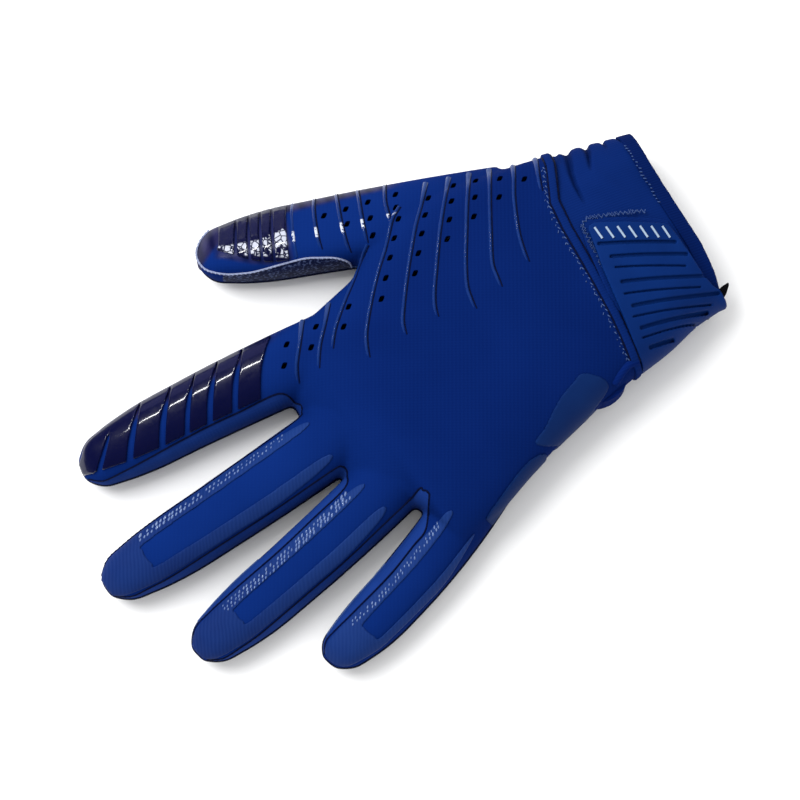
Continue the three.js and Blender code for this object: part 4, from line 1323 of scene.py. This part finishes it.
def stitches(path, step, length, radius, uneven=0.0, lean=0.0):
    """Small stretched balls along a line, as one mesh; they may lean and be sewn unevenly."""
    bm = bmesh.new()
    line = evenly(path, step)
    chance = random.Random(7)
    for a, b in zip(line, line[1:]):
        turn = (b - a).to_track_quat("X", "Z").to_matrix().to_4x4() @ Matrix.Rotation(lean, 4, "Z")
        shape = Matrix.Diagonal((length / 2 * chance.uniform(1 - uneven, 1 + uneven), radius, radius, 1))
        side = Vector((a.y - b.y, b.x - a.x, 0)).normalized() * chance.uniform(-uneven, uneven)
        place = Matrix.Translation(a + side)
        bmesh.ops.create_icosphere(bm, subdivisions=1, radius=1, matrix=place @ turn @ shape)
    return to_mesh(bm)


def zigzag(path, step, width, seed):
    """A line that swings unevenly from side to side of another in plan."""
    line = evenly(path, step)
    chance = random.Random(seed)
    swung = []
    for i, (a, b) in enumerate(zip(line, line[1:])):
        across = Vector((a.y - b.y, b.x - a.x, 0)).normalized()
        swung.append(a + across * width / 2 * (-1) ** i * chance.uniform(0.4, 1.3))
    return swung


# %% Lines where the skin passes a height
def side_loop(height):
    """The line where the skin passes a height, from the wrist round the fingers and back."""
    bm = bmesh.new()
    bm.from_mesh(skin)
    bmesh.ops.bisect_plane(bm, geom=bm.verts[:] + bm.edges[:] + bm.faces[:], dist=1e-5,
                           plane_co=(0, 0, height), plane_no=(0, 0, 1), clear_inner=True, clear_outer=True)
    start = here = max(bm.verts, key=lambda v: v.co.y)
    line, came = [], None
    while here is not start or not line:
        line.append(here.co.copy())
        came = next(e for e in here.link_edges if e is not came)
        here = came.other_vert(here)
    bm.free()
    return line


def hand_side(points):
    """The run of a closed line that lies on the finger side of the wrist."""
    keep = [p.y > np.interp(p.x, *zip(*WRIST_LINE)) + 2 for p in points]
    first = next(i for i in range(len(points)) if keep[i] and not keep[i - 1])
    turned = points[first:] + points[:first]
    kept = keep[first:] + keep[:first]
    return turned[:kept.index(False)] if False in kept else turned


def run_between(loop, start, end):
    """The shorter run of a closed line between the points nearest to two plan points."""
    def nearest(spot):
        return min(range(len(loop)), key=lambda i: (loop[i].xy - Vector(spot)).length)

    first, last = sorted((nearest(start), nearest(end)))
    inner, outer = loop[first:last + 1], loop[last:] + loop[:first + 1]
    return min(inner, outer, key=len)


# %% Cords and stitches of the hand
CORDS = {"palm": 0.5, "web": 0.36, "thumb": 0.32, "edge": 0.34, "ditch": 0.38, "zigzag": 0.14}  # radii
PALM_CORD_HEIGHT = SIDE_SEAM_HEIGHT + 0.4
EDGE_LINE_HEIGHT = 8.6
EDGE_RUNS = (((44.2, 67), (40.4, 118)), ((-25, 170.6), (-23.4, 143)), ((-51, 139), (-42.6, 111)))
THUMB_TIP_SEAM = ((79.6, 98.6), (78.4, 102.6), (75.4, 105.8), (71.4, 107), (67.4, 106))

# Painted shade: the dark strands beside the ribs.
add_piece("rib_ditch_shade", joined(*rib_shade_lines), dark_thread_and_shade)
palm_edge = evenly(hand_side(side_loop(PALM_CORD_HEIGHT)), 0.9)
add_piece("palm_edge_cord", strand(palm_edge, CORDS["palm"]), dark_thread_and_shade)
for web in WEBS:
    name, line = f"{web[0]}_{web[2]}", web_seam(web)
    add_piece(f"seam_cord_{name}", strand(dropped(line, -0.05), CORDS["web"]), dark_thread_and_shade)
    body = stitches(dropped(evenly(line, 0.8), 0.2), 1.7, 1.1, 0.22)
    add_piece(f"seam_stitches_{name}", body, dark_thread_and_shade)

thumb_line = curve_through(THUMB_TIP_SEAM + GUSSET_LINE, 5)
add_piece("thumb_seam_cord", strand(dropped(thumb_line, 0.1), CORDS["thumb"]), bright_thread)
add_piece("thumb_seam_stitches", stitches(dropped(thumb_line, 0.35), 1.4, 1.0, 0.3), bright_thread)

pale_loop = side_loop(EDGE_LINE_HEIGHT)
runs = [strand(evenly(run_between(pale_loop, *ends), 0.9), CORDS["edge"]) for ends in EDGE_RUNS]
add_piece("pale_edge_cords", joined(*runs), pale_thread)

# %% Stitches of the wrist, the closure and the hem
ROW_END, DITCH_END = 37, 38.5  # how far towards the thumb side the rows and the ditches run
DITCH_GAP = WELT_HALF + 0.15
BASE_EDGE = ((-34, 7.9), (-20, 6.2), (10.6, 2.2), (11.6, -0.6), (3.6, -19.2))
HEM_EDGE = ((27, -27.2), (16.9, -25.3), (1.5, -23.6))


def along_wrist(back, end):
    """The wrist line moved back or forward and laid on the skin, up to its thumb end."""
    return dropped([p for p in evenly(further_back(WRIST_LINE, back), 0.7) if p.x < end], 0.1)


body = joined(stitches(along_wrist(-2.2, ROW_END), 1.9, 1.4, 0.22, 0.4, 0.5),
              stitches(along_wrist(-2.9, ROW_END), 2.3, 0.9, 0.18, 0.5, -0.6))
add_piece("wrist_stitches", body, pale_thread)
# Painted shade: a dark strand on either side of the welt stands for the shade in its ditches.
ditches = [strand(along_wrist(back, DITCH_END), CORDS["ditch"]) for back in (-DITCH_GAP, DITCH_GAP)]
add_piece("wrist_ditch_shade_lines", joined(*ditches), dark_thread_and_shade)

cuff_tree = tree_of(cuff_form(STRAP_LOW))
rows = []
for k in (0, 1):
    path = dropped(evenly(BASE_EDGE, 0.7), 0.12 + 0.1 * k, cuff_tree)
    rows.append(strand(zigzag(path, 0.7 + 0.2 * k, 1.3, k), CORDS["zigzag"]))
add_piece("closure_stitches", joined(*rows), pale_thread)
hem_row = dropped(evenly(HEM_EDGE, 0.7), -0.1, cuff_tree)
add_piece("hem_stitches", stitches(hem_row, 1.3, 1.1, 0.2, 0.35, 0.9), pale_thread)

# %% [markdown]
# ## Camera, floor and lights
# The photograph looks down on the glove from its little-finger side, almost straight from above, with a
# long lens. Three lamps stand on the thumb side. A big soft one lights the cloth and throws the shadows,
# a narrow strip draws the white glints on the silicone, and a faint violet one gives gloss its sheen. The
# world is plain white, and the pale floor is lit until it is almost white too.

# %% Camera
TARGET = Vector((1.046, 76.8, 0)) + WRIST
DISTANCE = 850
ELEVATION = math.radians(76)
AZIMUTH = math.radians(-123.5)
FOCAL_LENGTH = 119.3
LAMP_DISTANCE = 900
FLOOR_HALF, FLOOR_DROP = 3, 0.0002  # metres


def direction(azimuth, elevation):
    """Unit vector from the glove towards a point round it; azimuth 0 is on the wrist's side."""
    return Vector((math.sin(azimuth) * math.cos(elevation), -math.cos(azimuth) * math.cos(elevation),
                   math.sin(elevation)))


def aim(thing, spot, towards):
    """Puts a lamp or camera at a spot, in millimetres, looking at another."""
    thing.rotation_mode = "QUATERNION"
    thing.location = spot * MM
    thing.rotation_quaternion = (towards - spot).to_track_quat("-Z", "Y")
    bpy.context.scene.collection.objects.link(thing)


lens = bpy.data.cameras.new("view")
lens.sensor_width = 36
lens.lens = FOCAL_LENGTH
camera = bpy.data.objects.new("view", lens)
aim(camera, TARGET + direction(AZIMUTH, ELEVATION) * DISTANCE, TARGET)
bpy.context.scene.camera = camera
print("camera:", DISTANCE, "mm away, lens", FOCAL_LENGTH, "mm")


# %% Three lamps
def lamp(name, way, sizes, power, glints, colour=(1, 1, 1)):
    """An oval lamp that either lights the cloth or makes the glints on gloss, as flags do in a studio."""
    light = bpy.data.lights.new(name, "AREA")
    light.shape = "ELLIPSE"
    light.size, light.size_y = (size * MM for size in sizes)
    light.energy = power
    light.color = colour
    fixture = bpy.data.objects.new(name, light)
    fixture.visible_glossy = glints
    fixture.visible_diffuse = not glints
    aim(fixture, TARGET + way.normalized() * LAMP_DISTANCE, TARGET)
    print(f"{name}: {power} W")


lamp("key_softbox", Vector((0.54, 0.27, 0.8)), (760, 760), 10.4, glints=False)
lamp("glint_strip", Vector((0.52, -0.08, 0.85)), (520, 28), 3, glints=True)
lamp("sheen_softbox", Vector((0.89, -0.23, 0.37)), (620, 620), 0.7, glints=True, colour=(0.52, 0.52, 1))

# %% Floor and world
bm = bmesh.new()
bmesh.ops.create_grid(bm, x_segments=1, y_segments=1, size=FLOOR_HALF)
floor = bpy.data.objects.new("floor", to_mesh(bm))
floor_finish = Finish("pale_floor", Roughness=0.9, Specular_IOR_Level=0.1)
where, *_ = floor_finish.place()
cloudy = floor_finish.speckle(where, 200.0)
floor_finish.colour(cloudy, (0.86, 0.865, 0.87, 1), (0.89, 0.89, 0.89, 1))
floor.data.materials.append(floor_finish.material)
bpy.context.scene.collection.objects.link(floor)
floor.location.z = -FLOOR_DROP

world = bpy.data.worlds.new("studio")
world.use_nodes = True
sky = world.node_tree.nodes["Background"]
sky.inputs["Color"].default_value = (1, 1, 1, 1)
sky.inputs["Strength"].default_value = 1.0
world.cycles_visibility.glossy = False
bpy.context.scene.world = world
bpy.context.scene.view_settings.view_transform = "Standard"
print("floor:", 2 * FLOOR_HALF, "m square")
